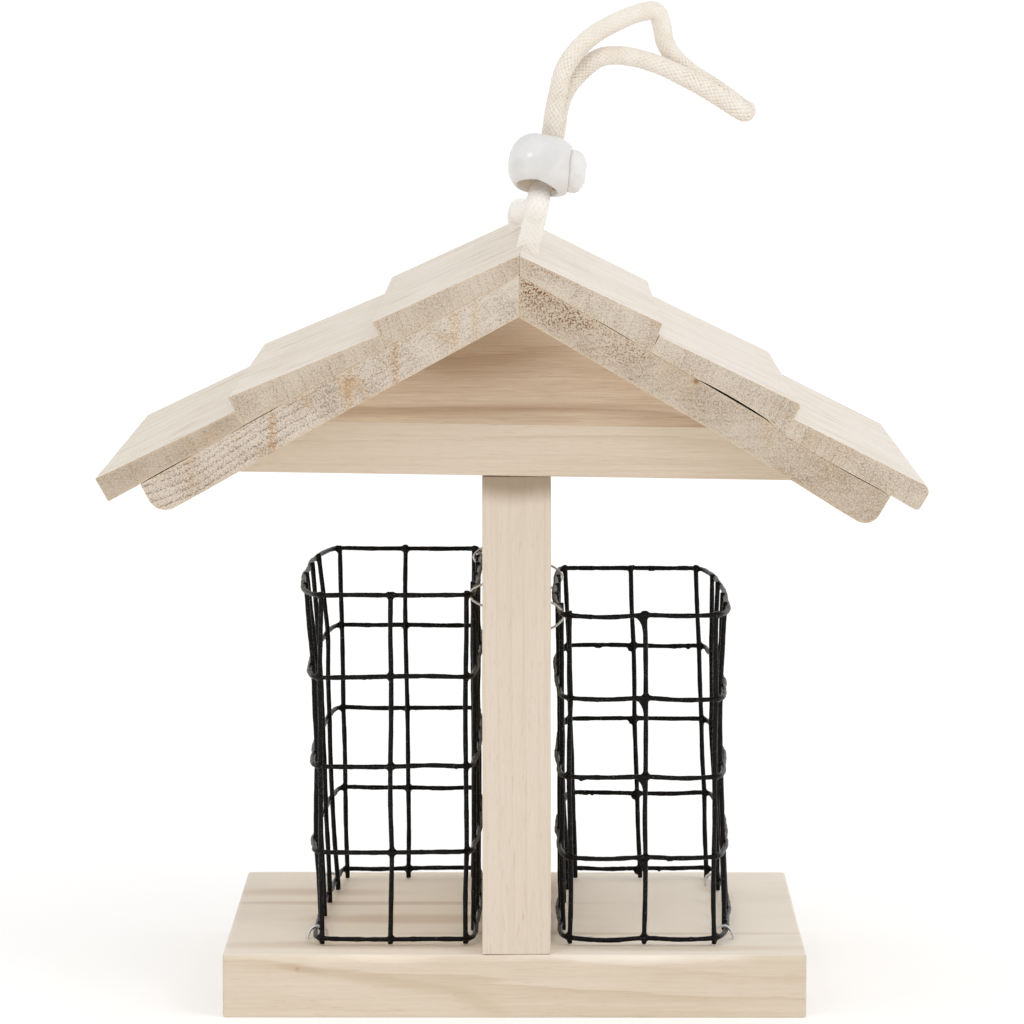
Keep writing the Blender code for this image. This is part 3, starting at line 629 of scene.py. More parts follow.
def braided_cotton():
    """Cream cotton; the mesh carries the yarns, the nodes the lint, plies and painted shade in the
    gaps between yarns.
    """
    mat = Shader("cotton_cord")
    braid = mat.attribute("braid")
    ply = mat.attribute("ply")
    soft = mat.noise(mat.place, scale=0.16)
    lint = mat.noise(mat.place, scale=6, detail=3, rough=0.7)
    patch = mat.noise(mat.place, scale=0.11, rough=0.55)
    color = mat.mix(soft.step((0.35, 0.7)), (243, 236, 226), (237, 228, 215))
    # whiter and plainer below the lock, most open just above it and where it enters the ridge,
    # where the painted shade in the braid's gaps is strongest
    height = mat.split(mat.place)[2]
    color = mat.mix(height.step((192, 200), to=(0.8, 0)), color, (254, 251, 246))
    weave = height.step((199, 204)) * height.step((221, 233), to=(1, 0.3))
    weave = weave.apply("MAXIMUM", height.step((180, 184.5), to=(1, 0)))
    weave = weave.apply("MAXIMUM", 0.32)
    # painted shade: the gaps between the yarns are darkened, in patches
    gap = braid.step((0.15, 0.75), to=(1, 0)) * patch.step((0.36, 0.62), to=(0.45, 1)) * weave
    gap_shade_patches = mat.noise(mat.place, scale=0.55, rough=0.6).step((0.40, 0.62), to=(0.16, 0.62))
    color = mat.mix(gap * gap_shade_patches, color, (208, 186, 156))
    # painted shade: brown dots in the braid's deepest gaps
    deep_gap_shade = mat.noise(mat.place, scale=0.8, rough=0.6).step((0.54, 0.66))
    deep_gap_shade = braid.step((0.05, 0.42), to=(1, 0)) * deep_gap_shade
    color = mat.mix(deep_gap_shade * weave * 0.70, color, (158, 126, 88))
    color = mat.mix(lint.step((0.55, 0.75)) * 0.35, color, (255, 252, 245))
    # three plies to a yarn
    strands = (ply * (6.2832 * 3)).apply("SINE")
    normal = mat.bump(lint * 0.6 + strands * 0.16, depth_mm=0.12, strength=0.55)
    return mat.finish(color, 0.92, normal, **{
        "Sheen Weight": 0.35, "Sheen Roughness": 0.45, "Specular IOR Level": 0.15})


def white_plastic(name, tint):
    """Glossy white plastic, with painted shade and a painted glow inside the lock, standing in for
    light through the plastic.
    """
    mat = Shader(name)
    flow = mat.noise(mat.place, scale=0.22)
    grain = mat.noise(mat.place, scale=2.2, detail=3, rough=0.55)
    dust = mat.noise(mat.place, scale=7, rough=0.6)
    color = mat.mix(flow.step((0.35, 0.7)), tint, tuple(value - 8 for value in tint))
    color = mat.mix(dust.step((0.68, 0.80), to=(0, 0.35)), color, (206, 198, 186))
    # painted shade and glow: where the attribute is high the colour turns warm and darker and the
    # surface emits a little
    inner = mat.attribute("inner_shade_glow").step((0.15, 0.9))
    color = mat.mix(inner * 0.70, color, (208, 193, 172))
    normal = mat.bump(flow + grain * 0.25, depth_mm=0.10, strength=0.25)
    return mat.finish(color, grain.affine(0.12, 0.16), normal, **{
        "Subsurface Weight": 0.12, "Subsurface Radius": (0.0012, 0.001, 0.0008),
        "Subsurface Scale": 1, "Coat Weight": 0.2, "Coat Roughness": 0.08,
        # painted glow: emission inside the lock, though the plastic is no lamp
        "Emission Color": srgb(222, 202, 176), "Emission Strength": inner * 0.12})


# ================================================================ boards
def loft_board(name, profile, start, end, material, matrix, bevel, seed, wobble,
               cuts=48, rim=1.0 * MM):
    """A sawn board: the (x, z) profile run along Y from start to end, its arrises eased, its
    ends inset for the darker rim, and its long edges a little uneven. All in metres."""
    bm = bmesh.new()
    near = [bm.verts.new((x, start, z)) for x, z in profile]
    far = [bm.verts.new((x, end, z)) for x, z in profile]
    bm.faces.new(near)
    bm.faces.new(list(reversed(far)))
    for i in range(len(profile)):
        j = (i + 1) % len(profile)
        bm.faces.new((near[j], near[i], far[i], far[j]))
    bmesh.ops.recalc_face_normals(bm, faces=bm.faces)
    sharp = [edge for edge in bm.edges
             if len(edge.link_faces) == 2 and edge.calc_face_angle(0) > math.radians(28)]
    bmesh.ops.bevel(bm, geom=sharp, offset=bevel, offset_type="OFFSET", segments=3,
                    profile=0.55, affect="EDGES", clamp_overlap=True)
    for k in range(1, cuts):
        # uneven planes, closer near the ends
        at = start + (end - start) * (0.5 - 0.5 * math.cos(math.pi * k / cuts))
        bmesh.ops.bisect_plane(bm, geom=bm.verts[:] + bm.edges[:] + bm.faces[:],
                               plane_co=(0, at, 0), plane_no=(0, 1, 0), dist=1e-7)
    # the rim value is 1 on the outline of each end and 0 inside the inset
    rim_layer = bm.verts.layers.float.new("rim")
    caps = [face for face in bm.faces if abs(face.normal.y) > 0.99
            and min(abs(face.calc_center_median().y - at) for at in (start, end)) < 1e-5]
    for face in caps:
        for vert in face.verts:
            vert[rim_layer] = 1.0
    bmesh.ops.inset_region(bm, faces=caps, thickness=rim, depth=0.0, use_even_offset=True)
    for face in caps:
        for vert in face.verts:
            vert[rim_layer] = 0.0
    co = np.array([vert.co for vert in bm.verts])
    phase = co[:, 1] / (9 * MM)
    across = co[:, 0] / (14 * MM) + co[:, 2] / (11 * MM)
    move_x = wobble * wave(phase + 0.35 * across, seed, 4)
    move_z = wobble * wave(phase * 0.9 + 0.5 * across, seed + 50, 4)
    move_y = 0.6 * wobble * wave(co[:, 0] / (3 * MM) + co[:, 2] / (2 * MM), seed + 90, 3)
    for vert, x, y, z in zip(bm.verts, move_x, move_y, move_z):
        vert.co.x += x
        vert.co.z += z
        vert.co.y += y
    bmesh.ops.transform(bm, matrix=matrix, verts=bm.verts)
    bmesh.ops.recalc_face_normals(bm, faces=bm.faces)
    mesh = bpy.data.meshes.new(name)
    bm.to_mesh(mesh)
    bm.free()
    mesh.materials.append(material)
    mesh.shade_smooth()
    mesh.set_sharp_from_angle(angle=math.radians(38))
    obj = link(bpy.data.objects.new(name, mesh))
    mod = obj.modifiers.new("weighted", "WEIGHTED_NORMAL")
    mod.keep_sharp = True
    mod.weight = 80
    return obj


def box_of(*nodes):
    lows, highs = zip(*(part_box(node) for node in nodes))
    return (Vector([min(low[i] for low in lows) for i in range(3)]),
            Vector([max(high[i] for high in highs) for i in range(3)]))


base_high = box_of("base_board")[1]
div_low, div_high = box_of("divider_board")
roof_low, roof_high = box_of("roof_deck_left", "roof_deck_right", "shingle_left_eave",
                             "shingle_right_eave", "shingle_left_ridge", "shingle_right_ridge")
gable_low = box_of("gable_front_lower", "gable_front_upper")[0]

# strength and colour marks, the pale fields among them painted light, in the columns that wood()
# describes
BASE_SHADES = [
    # front face
    ((-26, -58, 8.2), (26, 9, 1.9), -0.13, (190, 166, 136), 0.34),
    ((-8, -58, 3.4), (9, 9, 2.6), -0.35, (196, 173, 144), 0.34),
    ((-50, -58, 11.6), (7, 5, 1.1), -0.12, (180, 152, 120), 0.30),
    # painted light: pale fields on top, left and right, brightening the top under the roof and
    # cages
    ((-29, 4, 15.2), (44, 100, 3.4), 0, (255, 243, 224), 0.92),
    ((38, 4, 15.2), (46, 100, 3.4), 0, (255, 247, 235), 0.95),
    # darker bands on top
    ((20, -30, 15), (60, 2.6, 3), 0, (200, 176, 146), 0.42),
    ((-30, 12, 15), (60, 3.4, 3), 0, (198, 172, 141), 0.45),
    ((-44, -45, 15.2), (40, 6.5, 3), 0, (204, 178, 146), 0.42),
    ((-24, -10, 15.2), (34, 8, 3), 0, (204, 176, 142), 0.46),
    ((42, -49, 15.2), (36, 5, 3), 0, (206, 182, 152), 0.38),
    ((-52, 28, 15.2), (30, 7, 3), 0, (204, 178, 146), 0.40),
]


def make_base():
    material = wood(
        "pine_base", "X", pith=(-150, -60), spacing=3.4, light=(220, 206, 187),
        dark=(186, 162, 131), seed=1.3, ring=0.30, streak=0.36, blotch=0.50, bow=2.2, ticks=0.22,
        # painted light: the top face is lifted towards pale, where the roof shades it
        painted_top_light=0.62, knots=[((-51, -58, 11.6), 0.4, 0.35), ((-14, -58.2, 5.5), 0.25, 0.35)],
        shades=BASE_SHADES)
    width, depth, thick = base_high
    # the grain runs across, so the board is built along Y and turned
    turn = Matrix.Rotation(-math.pi / 2, 4, "Z")
    profile = [(-depth, 0.0), (-depth, thick), (depth, thick), (depth, 0.0)]
    obj = loft_board("base_board_look", profile, -width, width, material, turn,
                     bevel=0.6 * MM, cuts=60, seed=3, wobble=0.06 * MM)
    for vert in obj.data.vertices:
        vert.co.z = max(vert.co.z, 0.0)
    place(obj, "feeder", "base_board")


def make_divider():
    material = wood(
        "pine_divider", "Z", pith=(-160, -90), spacing=2.2, light=(219, 206, 189),
        dark=(194, 173, 147), seed=2.7, ring=0.16, streak=0.42, blotch=0.22, bow=1, ticks=0.30,
        # painted shade: the divider's top darkened just under the gable
        shades=[((0, -58, 128.5), (40, 200, 7), 0, (144, 122, 96), 0.80)])
    low, high = div_low, div_high
    profile = [(low.x, low.y), (low.x, high.y), (high.x, high.y), (high.x, low.y)]
    # built along Y with the plan as profile, then stood up
    stand = Matrix(((1, 0, 0, 0), (0, 0, 1, 0), (0, 1, 0, 0), (0, 0, 0, 1)))
    obj = loft_board("divider_board_look", profile, low.z - 0.2 * MM, high.z + 0.45 * MM,
                     material, stand, bevel=0.3 * MM, cuts=60, seed=7, wobble=0.06 * MM)
    place(obj, "feeder", "divider_board")


# ================================================================ roof
PITCH = math.radians(29.5)
COS, SIN, TAN = math.cos(PITCH), math.sin(PITCH), math.tan(PITCH)
ROLL = math.radians(0.9)
ROOF_MATRIX = (Matrix.Translation((0.5 * (div_low.x + div_high.x), 0.0, div_high.z + 0.6 * MM))
               @ Matrix.Rotation(ROLL, 4, "Y"))
APEX = 38.7             # underside of the ridge over the roof's origin
DECK_T = 8.3            # deck thickness
DROP_FROM = 48.0        # distance down the slope where the deck's faces are first sampled
SEAT_CONTACT = 0.014    # least gap between a shingle and the deck
ROOF_Y0, ROOF_Y1 = roof_low.y, roof_high.y

PALE = (233, 222, 205)
PALE_DARK = (207, 184, 152)

# side: the sign of x. rounding: radius of the deck's lower end.
# ridge: thickness at the ridge, butt place, butt thickness, sole's reach past the butt.
# middle, eave: head place, head thickness, butt place, butt thickness, the butt's top and
# bottom nose radii (None: square), how far the sole stops short of the butt.
# gaps: far end, near end and size of each gap under the shingles.
# Places are distances down the slope.
ROOF_SIDES = {
    "left": SimpleNamespace(
        side=-1, deck=94.0, rounding=4.2, seed=11,
        ridge=(4.05, 29.9, 6.65, 0.0),
        middle=(29.8, 3.4, 66.9, 7.3, None, 0.1),
        eave=(66.7, 3.7, 102.4, 5.6, None, 0.1),
        gaps=((94.5, 80.5, 0.22), (70.0, 57.0, 0.16)),
        wood=dict(
            pith=(-190, 400), spacing=1.75, end_light=(213, 201, 186), end_dark=(150, 129, 107),
            seed=2.1, end_ring=0.85, specks=0.42, grain_end=2.7, rows_fade=(-56, -36),
            shades=[((-54.9, -84.5, 139.8), (1.2, 9, 9), 0, (170, 128, 82), 0.75),
                    ((-37.6, -84.5, 149.6), (1.3, 9, 9), 0, (176, 136, 90), 0.65),
                    ((-26.9, -84.5, 156.5), (1, 9, 10), 0, (172, 130, 84), 0.8),
                    ((-13.6, -84.5, 163.5), (1.6, 9, 7), 0, (190, 152, 106), 0.6),
                    ((-8.8, -84.5, 166.5), (1.2, 9, 7), 0, (190, 152, 106), 0.5)])),
    "right": SimpleNamespace(
        side=1, deck=93.7, rounding=3.7, seed=17,
        ridge=(3.9, 28.9, 7.0, 1.2),
        middle=(29.8, 4.2, 65.7, 7.0, (1.0, 0.25), 0.5),
        eave=(65.5, 3.5, 101.0, 5.6, (1.9, 1.1), 1.5),
        gaps=((26.0, 15.0, 0.14), (61.5, 42.5, 0.50), (92.5, 79.0, 0.16)),
        wood=dict(
            pith=(60, -160), spacing=2.4, end_light=(201, 188, 171), end_dark=(152, 130, 105),
            seed=4.1, end_ring=0.35, specks=0.30, knots=[((41.4, -84.5, 152), 0.8, 0.95)],
            shades=[((37, -84.5, 153.5), (5, 9, 7), -0.4, (186, 164, 136), 0.6),
                    ((58, -84.5, 141.5), (1.2, 9, 8), 0, (188, 154, 112), 0.55),
                    ((72, -84.5, 134), (2.5, 9, 6), 0.3, (186, 156, 118), 0.5),
                    ((72, -84.5, 133.5), (22, 9, 15), -0.55, (160, 136, 108), 0.42)],
            pores=[(5, 173.2, 9, 6, 1), (16, 167, 17, 6, 0.8), (26, 159.5, 13, 5, 0.6)])),
}


def slope_point(down, over, side):
    """(x, z) in metres of a place so far down the slope and over the deck's underside."""
    return side * (down * COS + over * SIN) * MM, (APEX - down * SIN + over * COS) * MM


def mitre(over):
    """Where the ridge joint lies on the slope at one height over the deck's underside."""
    return -over * TAN + 0.006 / COS


def seat_drop(down, side):
    """How far the deck's top sinks under its flat slope towards the eave."""
    if side < 0:
        return 0.5 * eased((down - 50) / 40)
    return 1.0 * eased((down - 60) / 8) - 0.4 * eased((down - 82) / 12)


def sole_drop(down, side):
    """The same for the deck's underside."""
    if side < 0:
        return 0.6 * eased((down - 50) / 36)
    return 1.1 * min(1.0, max(0.0, (down - 52) / 34))


def seat(down, spec):
    """Height of a shingle's underside at one place down the slope."""
    gap = SEAT_CONTACT
    for far, near, size in spec.gaps:
        share = (down - near) / (far - near)
        if 0 < share < 1:
            gap += size * math.sin(math.pi * share) ** 0.5
    return DECK_T + gap - seat_drop(down, spec.side)


def underside(far, near, spec):
    """The shingle's seat from its butt back up to its head."""
    return [slope_point(down, seat(down, spec), spec.side) for down in np.linspace(far, near, 45)]


def nose(butt, top, low, radii, side):
    """The rounded butt of a shingle, from its top to its underside."""
    r_top, r_low = radii
    out = []
    for k in range(7):
        angle = math.radians(90 - 15 * k)
        out.append(slope_point(butt - r_top + r_top * math.cos(angle),
                               top - r_top + r_top * math.sin(angle), side))
    for k in range(7):
        angle = math.radians(-15 * k)
        out.append(slope_point(butt - r_low + r_low * math.cos(angle),
                               low + r_low + r_low * math.sin(angle), side))
    return out


def deck_outline(spec):
    side, end, rounding = spec.side, spec.deck, spec.rounding
    out = [slope_point(mitre(0), 0, side), slope_point(mitre(DECK_T), DECK_T, side)]
    for down in np.linspace(DROP_FROM, end, 62):
        out.append(slope_point(down, DECK_T - seat_drop(down, side), side))
    for k in range(7):
        angle = math.radians(15 * k)
        out.append(slope_point(end - rounding + rounding * math.cos(angle),
                               rounding - rounding * math.sin(angle) - sole_drop(end, side),
                               side))
    for down in np.linspace(end - rounding - 0.8, DROP_FROM, 24):
        out.append(slope_point(down, -sole_drop(down, side), side))
    return out


def ridge_outline(spec):
    thick, butt, butt_thick, reach = spec.ridge
    low, top = DECK_T + SEAT_CONTACT, DECK_T + thick
    return [slope_point(mitre(low), low, spec.side), slope_point(mitre(top), top, spec.side),
            slope_point(butt, DECK_T + butt_thick, spec.side)] + underside(butt + reach, 2, spec)


def course_outline(spec, course):
    """A middle or eave shingle."""
    head, head_thick, butt, butt_thick, radii, short = course
    start = head + 0.05
    top = DECK_T + butt_thick
    if radii:
        butt_points = nose(butt, top, seat(butt, spec), radii, spec.side)
    else:
        butt_points = [slope_point(butt, top, spec.side)]
    return ([slope_point(start, seat(start, spec), spec.side),
             slope_point(start, DECK_T + head_thick, spec.side)]
            + butt_points + underside(butt - short, head + 1.2, spec))


def thin_to_back(obj):
    """Thins a right-hand shingle towards the back, where its top lies lower."""
    to_roof = ROOF_MATRIX.inverted()
    for vert in obj.data.vertices:
        local = to_roof @ vert.co
        x, z = local.x / MM, local.z / MM - APEX
        down, over = x * COS - z * SIN, x * SIN + z * COS
        lift = min(1.0, max(0.0, (over - DECK_T) / 2.0))
        share = (vert.co.y - ROOF_Y0) / (ROOF_Y1 - ROOF_Y0)
        vert.co.z -= 0.7 * MM * lift * eased(down / 25) * share


def shingle_wood(name, side, course):
    """Wood of one shingle; courses count from 0 at the ridge to 2 at the eave."""
    right = side > 0
    eave = course == 2
    end_light = (212, 200, 184) if right else (193, 179, 161) if eave else (206, 193, 176)
    return wood(
        name, "Y", pith=(side * (430 + 40 * course), 20 - 25 * course),
        spacing=(2.5, 2.2, 2.7)[course], light=(238, 230, 220) if right else (232, 223, 211),
        dark=(208, 190, 168) if right else (196, 176, 152), end_light=end_light,
        end_dark=(156, 134, 109), seed=5.0 + 1.7 * course + side, ring=0.75, streak=0.36,
        blotch=0.22, end_ring=0.45, specks=0.28, bow=0.55, ticks=0.12, sharp=7, down=0.92,
        rays=0.15 if eave and right else 0.45,
        pores=[(7.5, 177.5, 7, 3.5, 0.45)] if course == 0 and right else ())


def make_roof():
    for name, spec in ROOF_SIDES.items():
        material = wood(f"pine_deck_{name}", "Y", light=PALE, dark=PALE_DARK, ring=0.35,
                        streak=0.4, **spec.wood)
        obj = loft_board(f"roof_deck_{name}_look", deck_outline(spec), ROOF_Y0 + 0.15 * MM,
                         ROOF_Y1 - 0.15 * MM, material, ROOF_MATRIX, bevel=0.2 * MM,
                         seed=spec.seed, wobble=0.02 * MM, rim=0.6 * MM)
        place(obj, "feeder", f"roof_deck_{name}")
        outlines = {"ridge": ridge_outline(spec), "middle": course_outline(spec, spec.middle),
                    "eave": course_outline(spec, spec.eave)}
        right = spec.side > 0
        for course, (piece, outline) in enumerate(outlines.items()):
            node = f"shingle_{name}_{piece}"
            rounded = 0.9 * MM if right and piece != "ridge" else 0.5 * MM
            obj = loft_board(f"{node}_look", outline, ROOF_Y0, ROOF_Y1,
                             shingle_wood(node, spec.side, course), ROOF_MATRIX,
                             bevel=rounded * 0.6, seed=23 + 7 * course + (50 if right else 0),
                             wobble=0.03 * MM, rim=0.45 * MM)
            if right:
                thin_to_back(obj)
            place(obj, "feeder", node)


GABLE_HALF = 66.0       # half width
GABLE_SEAM = 12.0       # height of the joint between lower and upper boards
GABLE_THICK = 8.0
GABLE_GAP = 0.004


def make_gables():
    roof = APEX - GABLE_GAP / COS
    side_z = roof - GABLE_HALF * TAN
    seam_half = (roof - GABLE_SEAM) / TAN
    low_half = (roof - GABLE_SEAM + GABLE_GAP) / TAN
    low_z = GABLE_SEAM - GABLE_GAP
    lower = [(-GABLE_HALF, 0), (-GABLE_HALF, side_z), (-low_half, low_z), (low_half, low_z),
             (GABLE_HALF, side_z), (GABLE_HALF, 0)]
    upper = [(-seam_half, GABLE_SEAM), (0, roof), (seam_half, GABLE_SEAM)]
    face = -gable_low.y
    for end, sign in (("front", -1), ("back", 1)):
        start, stop = sorted((sign * face, sign * (face - GABLE_THICK * MM)))
        low_wood = wood(
            f"pine_gable_{end}_low", "X", pith=(-180, 60), spacing=3, light=(219, 204, 185),
            dark=(188, 163, 135), seed=6.1 + sign, ring=0.22, streak=0.45, blotch=0.35, ticks=0.2)
        high_wood = wood(
            f"tan_gable_{end}_high", "X", pith=(-200, 120), spacing=3.4, light=(214, 193, 168),
            dark=(162, 132, 103), seed=7.3 + sign, ring=0.30, streak=0.60, blotch=0.75, bow=1.6,
            ticks=0.3,
            # the first mark is painted shade, the upper board darkened towards the ridge under the
            # roof; the second a thin darker band
            shades=[((-12, sign * 58, 157), (24, 30, 10), 0, (152, 122, 92), 0.6),
                    ((-10, sign * 58, 143.5), (44, 30, 1.6), 0.02, (158, 126, 94), 0.5)])
        for part, profile, material, seed, slot in (
                ("lower", lower, low_wood, 31, "pine"),
                ("upper", upper, high_wood, 37, "tan_pine")):
            obj = loft_board(f"gable_{end}_{part}_look", [(x * MM, z * MM) for x, z in profile],
                             start, stop, material, ROOF_MATRIX, bevel=0.04 * MM, cuts=6,
                             seed=seed, wobble=0.0, rim=0.6 * MM)
            place(obj, "feeder", f"gable_{end}_{part}")


# ================================================================ cages
# outer: the sign of x. front, back_low, back_high: x of the left corner, the middle and the
# right corner along the front, and along the back at the foot and at the rim.
# For each ring from the foot: rings is its height at the front, rise its climb to the back and
# bulge its swell on the outer side; inner is the swell on the divider's side.
CAGES = {
    "left": SimpleNamespace(
        outer=-1, front=(-46.4, -29.2, -10.9), back_low=(-43.3, -27.2, -10.0),
        back_high=(-45.2, -28.0, -10.1), rings=(16.7, 37.5, 58.0, 79.2, 98.6),
        rise=(0.9, 0.8, 0.7, 0.5, 0.6), bulge=(1.9, 2.8, 3.0, 3.6, 5.2),
        inner=1.9, seed=5, drip=0.30),
    "right": SimpleNamespace(
        outer=1, front=(12.4, 30.7, 48.0), back_low=(14.4, 31.3, 48.9),
        back_high=(11.9, 28.9, 46.1), rings=(17.0, 36.3, 55.4, 74.1, 93.8),
        rise=(0.7, 0.7, 0.5, 0.4, 0.4), bulge=(3.4, 3.0, 2.6, 2.7, 3.7),
        inner=2.7, seed=9, drip=0.8),
}
CAGE_FRONT, CAGE_BACK = -46.3, 48.0
WIRE = 0.62             # wire radius
FRONT_MIDDLE, BACK_MIDDLE, BACK_LEFT = 2, 16, 18    # places in a ring's plan


def cage_wall(front_x, back_x, swell, shares):
    """Plan points of a long side: x, y, and whether the point carries an upright."""
    return [(front_x + (back_x - front_x) * u + swell * math.sin(math.pi * (u * 1.02)) ** 0.42,
             CAGE_FRONT + (CAGE_BACK - CAGE_FRONT) * u, k % 2 == 0)
            for k, u in enumerate(shares, 1)]


def cage_plan(cage, row):
    """One ring's plan, anticlockwise from its front left corner, and which points carry
    an upright."""
    low, high = np.array(cage.back_low), np.array(cage.back_high)
    back_left, back_mid, back_right = low + (high - low) * (row / 4.0)
    left, mid, right = cage.front
    swells = (cage.bulge[row], cage.inner)
    left_swell, right_swell = swells if cage.outer < 0 else swells[::-1]
    points = [
        (left + 0.2, CAGE_FRONT + 0.4, True),
        (0.5 * (left + mid), CAGE_FRONT - 0.3, False),
        (mid, CAGE_FRONT - 0.4, True),
        (0.5 * (mid + right), CAGE_FRONT - 0.2, False),
        (right - 0.2, CAGE_FRONT + 0.3, True),
        *cage_wall(right, back_right, right_swell, [k / 10.0 for k in range(1, 10)]),
        (back_right - 0.2, CAGE_BACK - 0.2, True),
        (0.5 * (back_right + back_mid), CAGE_BACK + 0.3, False),
        (back_mid, CAGE_BACK + 0.3, True),
        (0.5 * (back_mid + back_left), CAGE_BACK + 0.2, False),
        (back_left + 0.2, CAGE_BACK - 0.3, True),
        *cage_wall(left, back_left, -left_swell, [1 - k / 10.0 for k in range(1, 10)]),
    ]
    plan = np.array([point[:2] for point in points])
    rng = np.random.RandomState(cage.seed * 100 + row)
    return plan + rng.uniform(-0.28, 0.28, plan.shape), np.array([p[2] for p in points])


def ring_points(cage, row, rng):
    plan, node = cage_plan(cage, row)
    depth = (plan[:, 1] - CAGE_FRONT) / (CAGE_BACK - CAGE_FRONT)
    heights = (cage.rings[row] + cage.rise[row] * depth
               + 0.16 * wave(np.arange(len(plan)) * 0.9, cage.seed * 7 + row, 3))
    heights[~node] += rng.uniform(-0.15, 0.15, (~node).sum())
    if cage.outer > 0:
        # the front run sags between its uprights
        heights[[1, 3]] -= 0.35
    return np.column_stack([plan, heights]), node


def ring_parts(cage, row, points, rng):
    """A ring's wire, and runs of coating hanging under it."""
    path, at = resample(catmull(points, 8, True), 0.7, True)
    # no ring may sink into the divider
    if cage.outer < 0:
        path[:, 0] = np.minimum(path[:, 0], div_low.x / MM - WIRE - 0.12)
    else:
        path[:, 0] = np.maximum(path[:, 0], div_high.x / MM + WIRE + 0.12)
    radius = WIRE * (1 + 0.07 * wave(at * 0.8, cage.seed * 3 + row, 4)
                     + 0.05 * rng.uniform(-1, 1, len(path)))
    parts = [tube(path, radius, 10, True, (0, 0, 1))]
    count = int((14 if row else 8) * cage.drip + 3)
    for k in rng.choice(len(path), count, replace=False):
        size = rng.uniform(0.30, 0.50) * (0.7 + 0.5 * cage.drip)
        parts.append(ball(path[k] + (0, 0, -WIRE * rng.uniform(0.6, 1.05)), size))
        if rng.rand() < 0.5 * cage.drip:
            below = path[(k + 1) % len(path)] + (0, 0, -WIRE * rng.uniform(0.4, 0.8))
            parts.append(ball(below, size * 0.9))
    return parts


def upright_parts(cage, rings, i, rng):
    """An upright at plan point i, on the inside of the rings, with its weld beads."""
    plan = rings[0][:, :2]
    column = np.array([ring[i] for ring in rings])
    tangent = plan[(i + 1) % len(plan)] - plan[(i - 1) % len(plan)]
    inward = np.array([-tangent[1], tangent[0]])
    inward /= np.linalg.norm(inward)
    if inward.dot(plan.mean(0) - column[0][:2]) < 0:
        inward = -inward
    column[:, :2] += inward * 0.72
    top = column[-1] + (0, 0, rng.uniform(0.75, 1.15))
    low = column[0].copy()
    low[2] = base_high.z / MM + 0.15 + rng.uniform(0.0, 0.25)
    points = [low]
    for start, end in zip(column[:-1], column[1:]):
        points.append(start)
        points.append(0.5 * (start + end) + np.append(rng.uniform(-0.16, 0.16, 2), 0))
    path, at = resample(catmull(points + [column[-1], top], 6), 0.7)
    radius = WIRE * (1.02 + 0.05 * wave(at * 0.6, cage.seed * 11 + int(i), 4))
    parts = [tube(path, radius, 10, False, (1, 0, 0), False)]
    along = np.append(tangent / np.linalg.norm(tangent), 0)
    for crossing in column:
        # weld bead with the coating's fillet
        weld = crossing - np.append(inward * 0.36, 0)
        parts.append(ball(weld, WIRE * rng.uniform(1.10, 1.24)))
        for sideways in (-1, 1):
            for upwards in (-1, 1):
                if rng.rand() < 0.6:
                    fillet = weld + along * sideways * 0.66 + (0, 0, upwards * 0.66)
                    parts.append(ball(fillet, 0.28))
    return parts


def web_parts(rings):
    """Curved webs of coating beside the front middle upright, and lumps at the back."""
    parts = []
    for ring in rings[1:]:
        p = ring[FRONT_MIDDLE]
        web = catmull([p + (-2.9, 0, -0.1), p + (-1.5, 0.1, -0.8), p + (-0.6, 0.3, -2.2),
                       p + (-0.1, 0.5, -4.2)], 6)
        parts.append(tube(web, np.linspace(0.34, 0.44, len(web)), 8))
        web = catmull([p + (-1.7, 0, -0.4), p + (-0.7, 0.2, -0.9), p + (-0.3, 0.4, -2.0)], 5)
        parts.append(tube(web, 0.3, 8))
    for ring in rings[:4]:
        for i in (BACK_LEFT, BACK_MIDDLE):
            parts.append(ball(ring[i] + (-0.9, -0.3, -0.9), 0.62))
    return parts


def make_cage(name, material):
    cage = CAGES[name]
    rng = np.random.RandomState(cage.seed)
    parts, rings = [], []
    for row in range(len(cage.rings)):
        points, node = ring_points(cage, row, rng)
        rings.append(points)
        parts += ring_parts(cage, row, points, rng)
    for i in np.nonzero(node)[0]:
        parts += upright_parts(cage, rings, i, rng)
    if name == "right":
        parts += web_parts(rings)
    verts, faces = merge_parts(parts)
    obj = mesh_object(f"cage_{name}_look", verts * MM, faces, material)
    remesh(obj, voxel=0.27 * MM, smooth=2)
    place(obj, "feeder", f"cage_{name}")


def flat_wire(path, width, thick, start):
    """Verts and faces of a bent flat wire with eased corners."""
    _, normal, side = path_frames(path, False, start)
    profile = []
    ease = 0.18 * min(width, thick)
    half_w, half_t = width / 2, thick / 2
    for sx, sy in ((1, 1), (-1, 1), (-1, -1), (1, -1)):
        corner = [(sx * half_w, sy * (half_t - ease)), (sx * (half_w - ease), sy * half_t)]
        profile += corner if sx * sy > 0 else corner[::-1]
    profile = np.array(profile)
    ring = (path[:, None] + profile[None, :, 0:1] * side[:, None]
            + profile[None, :, 1:2] * normal[:, None])
    return ring.reshape(-1, 3), skin(len(path), len(profile))


